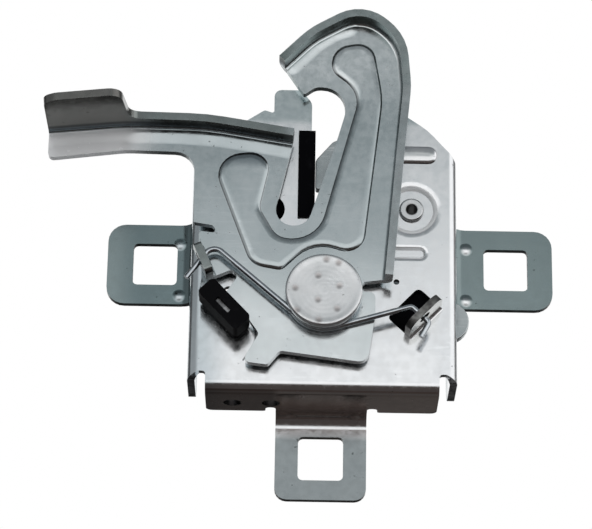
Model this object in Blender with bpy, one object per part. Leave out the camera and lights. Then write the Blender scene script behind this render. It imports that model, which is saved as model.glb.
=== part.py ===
"""Bonnet latch: a pressed housing with a primary hook behind its plate and a safety catch lever in front of it.

Frame: +X to the right seen from the front, +Z up, +Y to the back. The origin is where the pivot's axis meets
the mounting plane, which is the rear face of the three ears. Sizes are in millimetres until a mesh is made.
"""

import math

import bmesh
import bpy
from mathutils import Vector, geometry

MM = 0.001

# Clearances
GAP = 0.3

# How far an arc's chord may lie inside it, and the longest step round a small one
ARC_SAG = 0.05
ARC_STEP = math.radians(30)

# Housing: plate, side flanges, bottom flange
PLATE_Y = -24.5
HOUSING_T = 2.2
HOUSING_HALF_W = 39.7
HOUSING_BOTTOM = -28.3
BEND_R = 3.4
SIDE_TOP = 45.5
SIDE_FOOT = -24.0
FOOT_BACK = 1.2
RELIEF_TOP = -22.2
SHOULDER_Z = 50.5
CROWN_Z = 62.2
BOTTOM_INSET = 5.4

# Ears with square holes for cage nuts
EAR_BEND_R = 4.0
EAR_Z = 20.2
EAR_H = 26.0
EAR_LEFT_TIP = 66.0
EAR_RIGHT_TIP = 70.3
EAR_CORNER_R = 5.5
EAR_HOLE = 13.5
EAR_LEFT_HOLE_X = -51.4
EAR_RIGHT_HOLE_X = 56.0
FOOT_EAR_W = 27.2
FOOT_EAR_TIP = -54.2
FOOT_EAR_HOLE_Z = -41.4
FOOT_RELIEF_W = 3.0
FOOT_RELIEF_D = 3.2
DRAIN_HOLE_R = 2.7
DRAIN_HOLE_INSET = 7.9
DRAIN_HOLE_PITCH = 11.4
DRAIN_HOLE_Y = -14.0

# Striker slot in the plate, with its plastic guide
SLOT_LEFT = -4.2
SLOT_RIGHT = 7.2
SLOT_BOTTOM = 21.0
GUIDE_TOP = 55.3
GUIDE_FOOT = 27.0
GUIDE_LIP = 3.9
GUIDE_WALL = 0.8
GUIDE_BACK = 0.6
CLIP_MARGIN = 1.3
CLIP_BOSS_R = 3.9
CLIP_BOSS_H = 1.9
TAB_TOP = 69.3
TAB_LEFT = -15.7
LIGHTENING_HOLE = (-16.6, 29.6)
LIGHTENING_HOLE_R = 4.7

# Beads, dish and small holes in the plate. Insets are measured from the housing's side
DISH_INSET = 13.6
DISH_Z = 30.3
DISH_FLOOR_R = 6.5
DISH_SLOPE = 2.8
DISH_DEPTH = 1.1
LOW_BEAD_Z = 16.2
LOW_BEAD_START = 16.0
LOW_BEAD_INSET = 8.4
LOW_BEAD_H = 5.4
LOW_BEAD_SLOPE = 1.6
LOW_BEAD_DEPTH = 0.9
TOP_BEAD_Z = 48.2
TOP_BEAD_START = 17.0
TOP_BEAD_INSET = 5.8
TOP_BEAD_H = 5.8
TOP_BEAD_SLOPE = 2.3
TOP_BEAD_RISE = 0.8
SPY_HOLE = (21.6, 6.8)
SPY_HOLE_R = 0.9

# Lugs lanced out of the plate
LUG_INSET = 10.3
LUG_Z = -5.3
LUG_ANGLE = math.radians(46.5)
LUG_W = 13.4
LUG_H = 9.0
LUG_BEND_R = 0.8
WINDOW_L = 10.0
LUG_EYE_R = 2.0
LUG_EYE_H = 5.2
LUG_EYE_OFF = 0.7

# Pivot rivet and what is stacked on it
SHANK_R = 5.0
HEAD_R = 11.3
HEAD_T = 2.0
PEEN_R = 7.4
PEEN_T = 2.4
FRONT_WASHER_T = 1.2
FRONT_WASHER_R = 9.5
BACK_WASHER_T = 0.8
BACK_WASHER_R = 10.5
END_WASHER_T = 1.0
END_WASHER_R = 9.6

# Safety catch lever
LEVER_T = 2.4
LEVER_BEND_R = 1.0
FLANGE_H = 5.2
PAD_H = 21.5
EMBOSS_H = 0.7
EMBOSS_W = 2.3
ANCHOR_TOP = (-35.6, 15.4)
ANCHOR_FOOT = (-31.6, 6.2)
ANCHOR_H = 5.6
ANCHOR_EYE = (3.7, 7.8)

# Primary hook
HOOK_T = 3.0
HOOK_SWING = 12.0
HOOK_BOSS_R = 12.4
ARM_EYE = (37.0, -4.0)
ARM_EYE_R = 6.3
CABLE_HOLE_R = 2.6

# Springs
CATCH_WIRE = 1.7
CATCH_COIL_R = 10.4
HOOK_WIRE = 1.8
HOOK_COIL_R = 8.0
COIL_AIR = 0.2

# Stop rivet
STOP_R = 3.0
STOP_HEAD_R = 3.7
STOP_HEAD_T = 1.0
STOP_BORE_R = 1.7

# Stop buffer and glide pad
BUFFER_L = 16.6
BUFFER_LEVER_SIDE = 3.6
BUFFER_FAR_SIDE = 2.7
BUFFER_NOSE = 1.0
BUFFER_BLOCK = 7.1
BUFFER_STEP = 0.8
BUFFER_SLIT = (5.6, 1.4)
PAD_T = 0.8
PAD_MARGIN = 1.0

# Places and planes worked out from the sizes above
EDGE_X = HOUSING_HALF_W - BEND_R
BOTTOM_HALF_W = HOUSING_HALF_W - BOTTOM_INSET
DISH = (HOUSING_HALF_W - DISH_INSET, DISH_Z)
LUG_X = HOUSING_HALF_W - LUG_INSET
LUG_ROOT = HOUSING_T / 2 + LUG_BEND_R
PLATE_BACK = PLATE_Y + HOUSING_T
LEVER_BACK = PLATE_Y - 2 * GAP - FRONT_WASHER_T
LEVER_Y = LEVER_BACK - LEVER_T
CATCH_COIL_Y = LEVER_Y - GAP - CATCH_WIRE / 2
CATCH_PITCH = CATCH_WIRE + COIL_AIR
HEAD_BACK = CATCH_COIL_Y - CATCH_PITCH - CATCH_WIRE / 2 - GAP
HEAD_FRONT = HEAD_BACK - HEAD_T
HOOK_Y = PLATE_BACK + 2 * GAP + BACK_WASHER_T
HOOK_BACK = HOOK_Y + HOOK_T
HOOK_COIL_Y = HOOK_BACK + GAP + HOOK_WIRE / 2
HOOK_PITCH = HOOK_WIRE + COIL_AIR
HOOK_COIL_END = HOOK_COIL_Y + 2 * HOOK_PITCH
END_WASHER_Y = HOOK_COIL_END + HOOK_WIRE / 2 + GAP
PEEN_Y = END_WASHER_Y + END_WASHER_T + GAP


def unit(x, z):
    length = math.hypot(x, z)
    return x / length, z / length


def fillet(corners, closed=True):
    """Points of an outline given as (x, z, radius) corners, with an arc at each corner that has a radius."""
    points = []
    count = len(corners)
    for i, (x, z, radius) in enumerate(corners):
        inside = closed or 0 < i < count - 1
        if not radius or not inside:
            points.append((x, z))
            continue
        ax, az, _ = corners[i - 1]
        bx, bz, _ = corners[(i + 1) % count]
        ux, uz = unit(ax - x, az - z)
        vx, vz = unit(bx - x, bz - z)
        half = math.acos(max(-1.0, min(1.0, ux * vx + uz * vz))) / 2
        reach = min(radius / math.tan(half), math.hypot(ax - x, az - z), math.hypot(bx - x, bz - z))
        radius = reach * math.tan(half)
        mx, mz = unit(ux + vx, uz + vz)
        cx, cz = x + mx * radius / math.sin(half), z + mz * radius / math.sin(half)
        start = math.atan2(z + uz * reach - cz, x + ux * reach - cx)
        sweep = math.atan2(z + vz * reach - cz, x + vx * reach - cx) - start
        sweep = (sweep + math.pi) % (2 * math.pi) - math.pi
        step = min(ARC_STEP, 2 * math.acos(max(0.0, 1 - ARC_SAG / radius)))
        steps = max(2, math.ceil(abs(sweep) / step))
        for k in range(steps + 1):
            a = start + sweep * k / steps
            points.append((cx + radius * math.cos(a), cz + radius * math.sin(a)))
    return points


def circle(x, z, radius, sides=24):
    """A round hole or rim."""
    turn = 2 * math.pi / sides
    return [(x + radius * math.cos(k * turn), z + radius * math.sin(k * turn)) for k in range(sides)]


def rectangle(x0, z0, x1, z1, radius=0.0):
    """An upright rectangle with rounded corners."""
    return fillet([(x0, z0, radius), (x1, z0, radius), (x1, z1, radius), (x0, z1, radius)])


def turned(points, cx, cz, angle):
    """Points drawn about (0, 0), turned by angle and moved to (cx, cz)."""
    c, s = math.cos(angle), math.sin(angle)
    return [(cx + x * c - z * s, cz + x * s + z * c) for x, z in points]


def inside(point, loop):
    """Is the point inside the closed loop?"""
    x, z = point
    odd = False
    for (ax, az), (bx, bz) in zip(loop, loop[1:] + loop[:1]):
        if (az > z) != (bz > z) and x < ax + (z - az) * (bx - ax) / (bz - az):
            odd = not odd
    return odd


def distance(point, loop):
    """Shortest distance from the point to the closed loop."""
    x, z = point
    best = math.inf
    for (ax, az), (bx, bz) in zip(loop, loop[1:] + loop[:1]):
        dx, dz = bx - ax, bz - az
        length = dx * dx + dz * dz
        t = 0.0 if not length else max(0.0, min(1.0, ((x - ax) * dx + (z - az) * dz) / length))
        best = min(best, math.hypot(x - ax - t * dx, z - az - t * dz))
    return best


def inset(loop, amount):
    """The closed loop moved inwards by amount."""
    area = sum(a[0] * b[1] - b[0] * a[1] for a, b in zip(loop, loop[1:] + loop[:1]))
    side = 1.0 if area > 0 else -1.0
    moved = []
    for i, (x, z) in enumerate(loop):
        ax, az = unit(x - loop[i - 1][0], z - loop[i - 1][1])
        bx, bz = unit(loop[(i + 1) % len(loop)][0] - x, loop[(i + 1) % len(loop)][1] - z)
        nx, nz = unit(-(az + bz), ax + bx)
        stretch = 1 / max(0.5, -az * nx + ax * nz)
        moved.append((x + side * nx * amount * stretch, z + side * nz * amount * stretch))
    return moved


class Pressing:
    """A shape pressed into a sheet: its outer line, how far its floor lies to the back and its slope's width.

    The slope is soft where it stands proud: at a recess's outer line, and at the rim of a shape that is raised.
    """

    def __init__(self, loop, depth, width):
        self.loop, self.depth, self.width = loop, depth, width
        parts = (0.14, 0.32, 0.56, 1.0) if depth < 0 else (0.44, 0.68, 0.86, 1.0)
        self.rings = [loop] + [inset(loop, width * part) for part in parts]

    def lift(self, point):
        if not inside(point, self.rings[1]) and distance(point, self.rings[1]) > 1e-4:
            return 0.0
        part = min(1.0, distance(point, self.loop) / self.width)
        return self.depth * (1 - (1 - part) ** 3 if self.depth < 0 else part ** 3)


def skin(bm, outline, holes, place, across=(), along=(), pressings=()):
    """Faces over the outline, less the holes, cut at the fold lines and put in space by place(u, v)."""
    coords, edges = [], []
    loops = [outline] + list(holes) + [ring for p in pressings for ring in p.rings]
    for loop in loops:
        start = len(coords)
        coords += [Vector(p) for p in loop]
        edges += [(start + i, start + (i + 1) % len(loop)) for i in range(len(loop))]
    low_u, high_u = min(p[0] for p in outline), max(p[0] for p in outline)
    low_v, high_v = min(p[1] for p in outline), max(p[1] for p in outline)
    for u in across:
        edges.append((len(coords), len(coords) + 1))
        coords += [Vector((u, low_v - 1)), Vector((u, high_v + 1))]
    for v in along:
        edges.append((len(coords), len(coords) + 1))
        coords += [Vector((low_u - 1, v)), Vector((high_u + 1, v))]
    flat, _, faces, _, _, _ = geometry.delaunay_2d_cdt(coords, edges, [], 0, 1e-5)
    made = {}

    def vertex(i):
        if i not in made:
            u, v = flat[i]
            lift = max((p.lift((u, v)) for p in pressings), key=abs, default=0.0)
            x, y, z = place(u, v)
            made[i] = bm.verts.new((x * MM, (y + lift) * MM, z * MM))
        return made[i]

    for face in faces:
        middle = tuple(sum(flat[i][k] for i in face) / len(face) for k in range(2))
        if inside(middle, outline) and not any(inside(middle, hole) for hole in holes):
            bm.faces.new([vertex(i) for i in face])


def fold(profile):
    """(out, back) at a developed length, from the corners of a folded strip's profile."""
    lengths = [0.0]
    for (ao, ab), (bo, bb) in zip(profile, profile[1:]):
        lengths.append(lengths[-1] + math.hypot(bo - ao, bb - ab))

    def at(v):
        for k in range(1, len(profile)):
            if v <= lengths[k] or k == len(profile) - 1:
                part = (v - lengths[k - 1]) / (lengths[k] - lengths[k - 1])
                (ao, ab), (bo, bb) = profile[k - 1], profile[k]
                return ao + (bo - ao) * part, ab + (bb - ab) * part

    return lengths, at


def quarter(radius, out, back, steps=4):
    """Corners of a quarter bend that leaves the sheet at (0, 0): out and back are its signs."""
    turns = [math.pi / 2 * k / steps for k in range(1, steps + 1)]
    return [(out * radius * math.sin(t), back * radius * (1 - math.cos(t))) for t in turns]


def finish(name, bm, material):
    """The object made from a mesh whose vertices are in metres."""
    mesh = bpy.data.meshes.new(name)
    bm.to_mesh(mesh)
    bm.free()
    mesh.materials.append(material)
    mesh.shade_smooth()
    mesh.set_sharp_from_angle(angle=math.radians(35))
    obj = bpy.data.objects.new(name, mesh)
    bpy.context.scene.collection.objects.link(obj)
    return obj


def sheet(name, bm, thickness, material):
    """A pressed sheet: the faces are its front, and its thickness goes to the back."""
    bmesh.ops.remove_doubles(bm, verts=bm.verts[:], dist=2e-6)
    bmesh.ops.recalc_face_normals(bm, faces=bm.faces[:])
    if sum(f.normal.y * f.calc_area() for f in bm.faces) > 0:
        bmesh.ops.reverse_faces(bm, faces=bm.faces[:])
    obj = finish(name + "_skin", bm, material)
    wall = obj.modifiers.new("Wall", "SOLIDIFY")
    wall.thickness = thickness * MM
    wall.offset = -1
    wall.use_even_offset = True
    wall.use_quality_normals = True
    walled = bmesh.new()
    walled.from_mesh(bpy.data.meshes.new_from_object(obj.evaluated_get(bpy.context.evaluated_depsgraph_get())))
    bpy.data.objects.remove(obj, do_unlink=True)
    return finish(name, walled, material)


def slab(name, outline, holes, y0, y1, material):
    """A flat plate between two planes, cut to the outline."""
    bm = bmesh.new()
    for y in (y0, y1):
        skin(bm, outline, holes, lambda u, v, y=y: (u, y, v))
    for loop in [outline] + list(holes):
        for (ax, az), (bx, bz) in zip(loop, loop[1:] + loop[:1]):
            ring = [(ax, y0, az), (bx, y0, bz), (bx, y1, bz), (ax, y1, az)]
            bm.faces.new([bm.verts.new(Vector(p) * MM) for p in ring])
    bmesh.ops.remove_doubles(bm, verts=bm.verts[:], dist=2e-6)
    bmesh.ops.recalc_face_normals(bm, faces=bm.faces[:])
    return finish(name, bm, material)


def revolve(name, profile, material, x=0.0, z=0.0, sides=40):
    """A turned piece about an axis along Y: profile is (radius, y) from one end to the other, closed."""
    bm = bmesh.new()
    rings = []
    for radius, y in profile:
        if radius == 0:
            rings.append([bm.verts.new(Vector((x, y, z)) * MM)])
            continue
        rings.append([bm.verts.new(Vector((px, y, pz)) * MM) for px, pz in circle(x, z, radius, sides)])
    pairs = list(zip(rings, rings[1:]))
    if profile[0][0] and profile[-1][0]:
        pairs.append((rings[-1], rings[0]))
    for a, b in pairs:
        for i in range(sides):
            j = (i + 1) % sides
            corners = [a[i % len(a)], a[j % len(a)], b[j % len(b)], b[i % len(b)]]
            bm.faces.new(list(dict.fromkeys(corners)))
    bmesh.ops.recalc_face_normals(bm, faces=bm.faces[:])
    return finish(name, bm, material)


def wire(name, points, diameter, material, resolution=3):
    """A round wire along the points, which are (x, y, z)."""
    curve = bpy.data.curves.new(name, "CURVE")
    curve.dimensions = "3D"
    curve.bevel_depth = diameter / 2 * MM
    curve.bevel_resolution = resolution
    curve.use_fill_caps = True
    spline = curve.splines.new("POLY")
    spline.points.add(len(points) - 1)
    for target, (x, y, z) in zip(spline.points, points):
        target.co = (x * MM, y * MM, z * MM, 1)
    curve.materials.append(material)
    obj = bpy.data.objects.new(name, curve)
    bpy.context.scene.collection.objects.link(obj)
    return obj


def material(name, colour, metallic, roughness):
    made = bpy.data.materials.new(name)
    made.use_nodes = True
    shader = made.node_tree.nodes["Principled BSDF"]
    shader.inputs["Base Color"].default_value = (*colour, 1)
    shader.inputs["Metallic"].default_value = metallic
    shader.inputs["Roughness"].default_value = roughness
    return made


def side_profile():
    """Side flange and ear: round the plate's bend, back along the flange, and out again into the ear."""
    front = quarter(BEND_R, 1, 1)
    depth = -PLATE_Y - HOUSING_T - EAR_BEND_R
    out = [(BEND_R + EAR_BEND_R * (1 - math.cos(t)), depth + EAR_BEND_R * math.sin(t)) for t in
           (math.pi / 8 * k for k in range(5))]
    return [(0.0, 0.0)] + front + out


def lug(bm, side):
    """A lug bent forward out of its window: its root, its bend and its face, with an eye in the right one."""
    e = (math.cos(LUG_ANGLE), math.sin(LUG_ANGLE))
    n = (-e[1], e[0])
    profile = [(0.0, 0.0)] + quarter(LUG_BEND_R, 1, -1)
    profile.append((LUG_BEND_R, -LUG_H))
    lengths, at = fold(profile)
    tip = lengths[-1]

    def place(u, v):
        out, back = at(v)
        x = LUG_X + e[0] * u + n[0] * (out - LUG_ROOT)
        z = LUG_Z + e[1] * u + n[1] * (out - LUG_ROOT)
        return side * x, PLATE_Y + back, z

    half = LUG_W / 2
    outline = fillet([(-half, 0, 0), (half, 0, 0), (half, tip, 3.2), (-half, tip, 3.2)])
    eye = circle(-LUG_EYE_OFF, lengths[4] + LUG_EYE_H, LUG_EYE_R, 12)
    skin(bm, outline, [eye] if side > 0 else [], place, along=lengths[1:-1])


def window(side):
    """The window that a lug was lanced from, drawn in the plate."""
    half, end = LUG_W / 2, WINDOW_L - LUG_ROOT
    corners = [(-half, -LUG_ROOT, 0), (half, -LUG_ROOT, 0), (half, end, 1.6), (-half, end, 1.2)]
    points = turned(fillet(corners), LUG_X, LUG_Z, LUG_ANGLE)
    return [(side * x, z) for x, z in points]


def housing(steel):
    """The pressed housing: plate, two side flanges and a bottom flange, each ending in an ear, and two lugs."""
    bm = bmesh.new()
    edge_z = HOUSING_BOTTOM + BEND_R
    foot_x = BOTTOM_HALF_W
    slot_mid = (SLOT_RIGHT - SLOT_LEFT) / 2 - 0.1
    outline = fillet([
        (-foot_x, edge_z, 0), (foot_x, edge_z, 0), (foot_x, RELIEF_TOP, 0.9), (EDGE_X, RELIEF_TOP, 0),
        (EDGE_X, SHOULDER_Z, 0), (EDGE_X - 5.3, CROWN_Z - 5.6, 22), (EDGE_X - 13.5, CROWN_Z, 4), (11.5, CROWN_Z, 3),
        (SLOT_RIGHT, 55.5, 4), (SLOT_RIGHT, SLOT_BOTTOM, slot_mid), (SLOT_LEFT, SLOT_BOTTOM, slot_mid),
        (SLOT_LEFT, 65.0, 3), (-7.5, TAB_TOP, 2), (TAB_LEFT, TAB_TOP, 2.2), (TAB_LEFT, 61.4, 0.6), (-18.6, 62.4, 1.0),
        (-EDGE_X, SHOULDER_Z, 0), (-EDGE_X, RELIEF_TOP, 0), (-foot_x, RELIEF_TOP, 0.9),
    ])
    holes = [
        window(1), window(-1), circle(*LIGHTENING_HOLE, LIGHTENING_HOLE_R), circle(*SPY_HOLE, SPY_HOLE_R, 10),
        circle(0, 0, SHANK_R + GAP, 32), circle(*DISH, STOP_R + GAP, 20),
    ]
    low, low_end = LOW_BEAD_H / 2, HOUSING_HALF_W - LOW_BEAD_INSET
    top, top_end = TOP_BEAD_H / 2, HOUSING_HALF_W - TOP_BEAD_INSET
    low_line = rectangle(LOW_BEAD_START, LOW_BEAD_Z - low, low_end, LOW_BEAD_Z + low, low * 0.98)
    top_line = rectangle(TOP_BEAD_START, TOP_BEAD_Z - top, top_end, TOP_BEAD_Z + top, top * 0.98)
    pressings = [
        Pressing(circle(*DISH, DISH_FLOOR_R + DISH_SLOPE, 36), DISH_DEPTH, DISH_SLOPE),
        Pressing(low_line, LOW_BEAD_DEPTH, LOW_BEAD_SLOPE), Pressing(top_line, -TOP_BEAD_RISE, TOP_BEAD_SLOPE),
    ]
    skin(bm, outline, holes, lambda u, v: (u, PLATE_Y, v), pressings=pressings)
    for side, tip, hole_x in ((-1, EAR_LEFT_TIP, -EAR_LEFT_HOLE_X), (1, EAR_RIGHT_TIP, EAR_RIGHT_HOLE_X)):
        side_wing(bm, side, tip, hole_x)
    bottom_wing(bm, edge_z)
    lug(bm, 1)
    lug(bm, -1)
    return sheet("housing", bm, HOUSING_T, steel)


def side_wing(bm, side, tip, hole_x):
    """A side flange with its ear. Its outline is drawn flat: u along Z, v the developed length from the bend."""
    profile = side_profile()
    ear_start = EDGE_X + profile[-1][0]
    profile.append((tip - EDGE_X, profile[-1][1]))
    lengths, at = fold(profile)
    flange = lengths[5] - 0.8
    ear = lengths[-1]
    ear_low, ear_high = EAR_Z - EAR_H / 2, EAR_Z + EAR_H / 2
    foot = lengths[4] - PLATE_Y - BEND_R - FOOT_BACK
    hole_v = lengths[-2] + hole_x - ear_start
    outline = fillet([
        (RELIEF_TOP, 0, 0), (SHOULDER_Z, 0, 0), (SIDE_TOP, lengths[4], 3), (SIDE_TOP - 4, flange, 5),
        (ear_high + 1.5, flange, 0), (ear_high, flange + 1.5, 0), (ear_high, ear, EAR_CORNER_R),
        (ear_low, ear, EAR_CORNER_R), (ear_low, flange + 1.5, 0), (ear_low - 1.5, flange, 0),
        (ear_low - 7, flange, 3), (ear_low - 11, foot, 4), (SIDE_FOOT, foot, 6), (SIDE_FOOT, lengths[3], 1.5),
    ])
    half = EAR_HOLE / 2
    holes = [rectangle(EAR_Z - half, hole_v - half, EAR_Z + half, hole_v + half, 1.4)]
    if side > 0:
        travel = math.radians(HOOK_SWING)
        reach = math.hypot(*ARM_EYE)
        low = reach * math.sin(math.atan2(ARM_EYE[1], ARM_EYE[0]) - travel) - ARM_EYE_R - 1.0
        high = ARM_EYE[1] + ARM_EYE_R + 1.0
        near = lengths[4] + (HOOK_Y - PLATE_Y - BEND_R) - 3 * GAP
        holes.append(rectangle(low, near, high, near + HOOK_T + 6 * GAP, 1.5))

    def place(u, v):
        out, back = at(v) if u > ear_low - 2 or v < lengths[4] else (BEND_R, BEND_R + v - lengths[4])
        return side * (EDGE_X + out), PLATE_Y + back, u

    skin(bm, outline, holes, place, along=lengths[1:-1])


def bottom_wing(bm, edge_z):
    """The bottom flange with its ear, two drain holes and a relief on each side of the ear's root."""
    profile = side_profile()
    reach = -FOOT_EAR_TIP + edge_z
    profile.append((reach, profile[-1][1]))
    lengths, at = fold(profile)
    flange = lengths[5] - 0.8
    ear = lengths[-1]
    half = FOOT_EAR_W / 2
    wide = half + FOOT_RELIEF_W
    side = [
        (wide, flange, 0.8), (wide, flange - FOOT_RELIEF_D, 1.2), (half, flange - FOOT_RELIEF_D, 1.2),
        (half, ear, 3.6),
    ]
    mirrored = [(-u, v, r) for u, v, r in reversed(side)]
    outline = fillet([(-BOTTOM_HALF_W, 0, 0), (BOTTOM_HALF_W, 0, 0), (BOTTOM_HALF_W, flange, 2)]
                     + side + mirrored + [(-BOTTOM_HALF_W, flange, 2)])
    hole_v = lengths[-2] + (edge_z - FOOT_EAR_HOLE_Z) - profile[-2][0]
    size = EAR_HOLE / 2
    holes = [rectangle(-size, hole_v - size, size, hole_v + size, 1.4)]
    drain_v = lengths[4] + DRAIN_HOLE_Y - PLATE_Y - BEND_R
    first = DRAIN_HOLE_INSET - BOTTOM_HALF_W
    holes += [circle(x, drain_v, DRAIN_HOLE_R, 18) for x in (first, first + DRAIN_HOLE_PITCH)]

    def place(u, v):
        out, back = at(v)
        return u, PLATE_Y + back, edge_z - out

    skin(bm, outline, holes, place, along=lengths[1:-1])


def handle_bend():
    """Where the lever's top flange leaves its plate, from the finger pad to the striker notch."""
    return fillet([(-83.3, 50.8, 0), (-60, 53.2, 60), (-36, 52.9, 70), (-10.0, 48.7, 0)], closed=False)


def hook_bend():
    """Where the hook's outer flange leaves the plate, from the nose over the top and down the right side."""
    return fillet([
        (-12.0, 74.0, 0), (-3.2, 83.2, 25), (10.6, 91.2, 9), (20.9, 82.6, 14), (22.2, 67.0, 30), (20.4, 48, 60),
        (16.9, 5.6, 0),
    ], closed=False)


def buffer_frame():
    """Middle of the left lug, the direction along it and the direction towards the lever."""
    e = (-math.cos(LUG_ANGLE), math.sin(LUG_ANGLE))
    n = (math.sin(LUG_ANGLE), math.cos(LUG_ANGLE))
    return (-LUG_X, LUG_Z), e, n


def lever_outline():
    """The lever's plate, clockwise from the finger pad. The straight edge at the anchor is its tab's root."""
    (bx, bz), e, n = buffer_frame()
    off = BUFFER_LEVER_SIDE + GAP
    rest = [(bx + n[0] * off + e[0] * s, bz + n[1] * off + e[1] * s) for s in (-7.3, 3.9)]
    notch = fillet([
        (-10.0, 48.7, 0), (-15.9, 22.6, 5.2), (-5.3, 22.6, 5.2), (3.2, 50.0, 10), (5.8, 59.5, 8), (5.8, 68.4, 7),
        (-3.2, 68.4, 4), (-6.7, 65.8, 0.6), (-12.0, 74.0, 0),
    ], closed=False)
    tail = fillet([
        (16.9, 5.6, 0), (11.6, 4.9, 0.8), (11.3, 1.9, 0.8), (15.3, 1.8, 2), (15.2, -6.0, 8), (13.0, -20.4, 3),
        (-12.6, -17.1, 1.5), (-16.1, -21.5, 1.2), (-23.6, -20.6, 1.5), (-18.8, -11.8, 1.5), (*rest[0], 0.8),
        (*rest[1], 0.8), (-25.6, 5.8, 1.0), (-26.8, 8.4, 1.6), (*ANCHOR_FOOT, 0), (*ANCHOR_TOP, 0),
        (-37.3, 16.6, 0.9), (-37.3, 20.4, 0.9), (-31.9, 19.8, 0.8), (-33.1, 22.2, 0.8), (-39.0, 23.2, 0.4),
        (-39.3, 45.9, 6), (-60, 46.3, 30), (-83.3, 43.3, 1.6), (-83.3, 50.8, 0),
    ], closed=False)
    return handle_bend() + notch[1:] + hook_bend()[1:] + tail[1:-1]


def emboss_outline():
    """The stiffening shape raised in the lever: it runs round the striker notch and keeps clear of the rivet's head."""
    clear = HEAD_R + 6.4
    return fillet([
        (-34.9, 44.9, 7.4), (-15.4, 47.2, 5.6), (-19.4, 28.0, 4.3), (-14.3, 19.1, 5.6), (-2.5, 16.8, 10.0),
        (10.4, 66.7, 8.9), (1.3, 73.8, 4.9), (2.1, 82.2, 6.2), (14.0, 84.1, 5.2), (17.3, 64.8, 30), (11.4, 12.5, 5.9),
        (-0.18 * clear, 0.983 * clear, HEAD_R - 0.5), (-12.5, 8.1, 2.7), (-21.7, 9.7, 6.4),
    ])


def flange(bm, path, corners, bend_r, base_y, eye=()):
    """A flange bent forward along a path. corners give its free edge as (distance along the path, height, radius)."""
    stations = [0.0]
    for a, b in zip(path, path[1:]):
        stations.append(stations[-1] + math.dist(a, b))
    normals = []
    for i in range(len(path)):
        a, b = path[max(0, i - 1)], path[min(len(path) - 1, i + 1)]
        dx, dz = unit(b[0] - a[0], b[1] - a[1])
        normals.append((-dz, dx))
    lengths, at = fold([(0.0, 0.0)] + quarter(bend_r, 1, -1) + [(bend_r, -40.0)])
    bend = lengths[4]

    def place(u, v):
        k = max(i for i in range(len(stations) - 1) if stations[i] <= u + 1e-6)
        part = (u - stations[k]) / (stations[k + 1] - stations[k])
        out, back = at(v)
        (ax, az), (bx, bz) = path[k], path[k + 1]
        (px, pz), (qx, qz) = normals[k], normals[k + 1]
        nx, nz = unit(px + (qx - px) * part, pz + (qz - pz) * part)
        return ax + (bx - ax) * part + nx * out, base_y + back, az + (bz - az) * part + nz * out

    end = stations[-1]
    free = [(end + u if u < 0 else u, bend - bend_r + v, r) for u, v, r in corners]
    outline = fillet([(end, 0, 0), (0, 0, 0)] + free)
    holes = [[(u, bend - bend_r + v) for u, v in eye]] if eye else []
    skin(bm, outline, holes, place, across=stations[1:-1], along=lengths[1:5])


def tongue(bm, base_y):
    """The anchor tab, bent forward from the lever's lower left edge, with an eye for the catch spring's leg."""
    length = math.dist(ANCHOR_FOOT, ANCHOR_TOP)
    low, high = ANCHOR_EYE
    wire_at = GAP + 1.5 * CATCH_WIRE + COIL_AIR
    reach = CATCH_WIRE / 2 + GAP
    eye = rectangle(low, wire_at - reach, high, wire_at + reach, 0.5)
    corners = [(0, ANCHOR_H, 1.6), (length, ANCHOR_H, 1.0)]
    flange(bm, [ANCHOR_FOOT, ANCHOR_TOP], corners, LEVER_BEND_R, base_y, eye)


def lever(steel):
    """The safety catch lever: hook above, handle with its finger pad on the left, tail below the pivot."""
    bm = bmesh.new()
    press = Pressing(emboss_outline(), -EMBOSS_H, EMBOSS_W)
    skin(bm, lever_outline(), [circle(0, 0, SHANK_R + GAP, 32)], lambda u, v: (u, LEVER_Y, v), pressings=[press])
    pad_end = 24.6
    flange(bm, handle_bend(), [
        (0, PAD_H - 1.5, 3.0), (3.5, PAD_H, 5), (pad_end - 1.8, PAD_H + 0.3, 4.2), (pad_end, FLANGE_H + 0.4, 3.8),
        (-0.001, FLANGE_H, 0),
    ], LEVER_BEND_R, LEVER_Y)
    flange(bm, hook_bend(), [(0, FLANGE_H, 0), (-0.001, FLANGE_H, 0)], LEVER_BEND_R, LEVER_Y)
    tongue(bm, LEVER_Y)
    return sheet("safety_lever", bm, LEVER_T, steel)


def primary_hook(steel):
    """The primary hook: nose over the striker slot, spring shoulder on the left, release arm out to the right."""
    ax, az = ARM_EYE
    outline = fillet([
        (-2.9, 38.0, 0.7), (-2.9, 47.6, 2), (2.4, 54.0, 3), (9.0, 56.2, 4), (15.0, 48.5, 5), (15.6, 36.0, 8),
        (14.0, 14.0, 9), (ax, az + ARM_EYE_R, 0), (ax + ARM_EYE_R, az + ARM_EYE_R, ARM_EYE_R * 0.99),
        (ax + ARM_EYE_R, az - ARM_EYE_R, ARM_EYE_R * 0.99), (ax, az - ARM_EYE_R, 0),
        (HOOK_BOSS_R, -HOOK_BOSS_R, 9), (-HOOK_BOSS_R, -HOOK_BOSS_R, 10), (-HOOK_BOSS_R - 4.5, -4.5, 1.5),
        (-HOOK_BOSS_R - 4.5, 0.0, 1.0), (-HOOK_BOSS_R, 0.0, 0.8), (-HOOK_BOSS_R, HOOK_BOSS_R, 10),
        (8.0, 14.0, 6), (8.0, 38.8, 2.2),
    ])
    holes = [circle(0, 0, SHANK_R + GAP, 32), circle(ax, az, CABLE_HOLE_R, 20)]
    return slab("primary_hook", outline, holes, HOOK_Y, HOOK_BACK, steel)


def tangent(radius, x, z, way):
    """Angle on the coil at which a leg to (x, z) leaves it: way is +1 or -1."""
    return math.atan2(z, x) + way * math.acos(radius / math.hypot(x, z))


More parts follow.
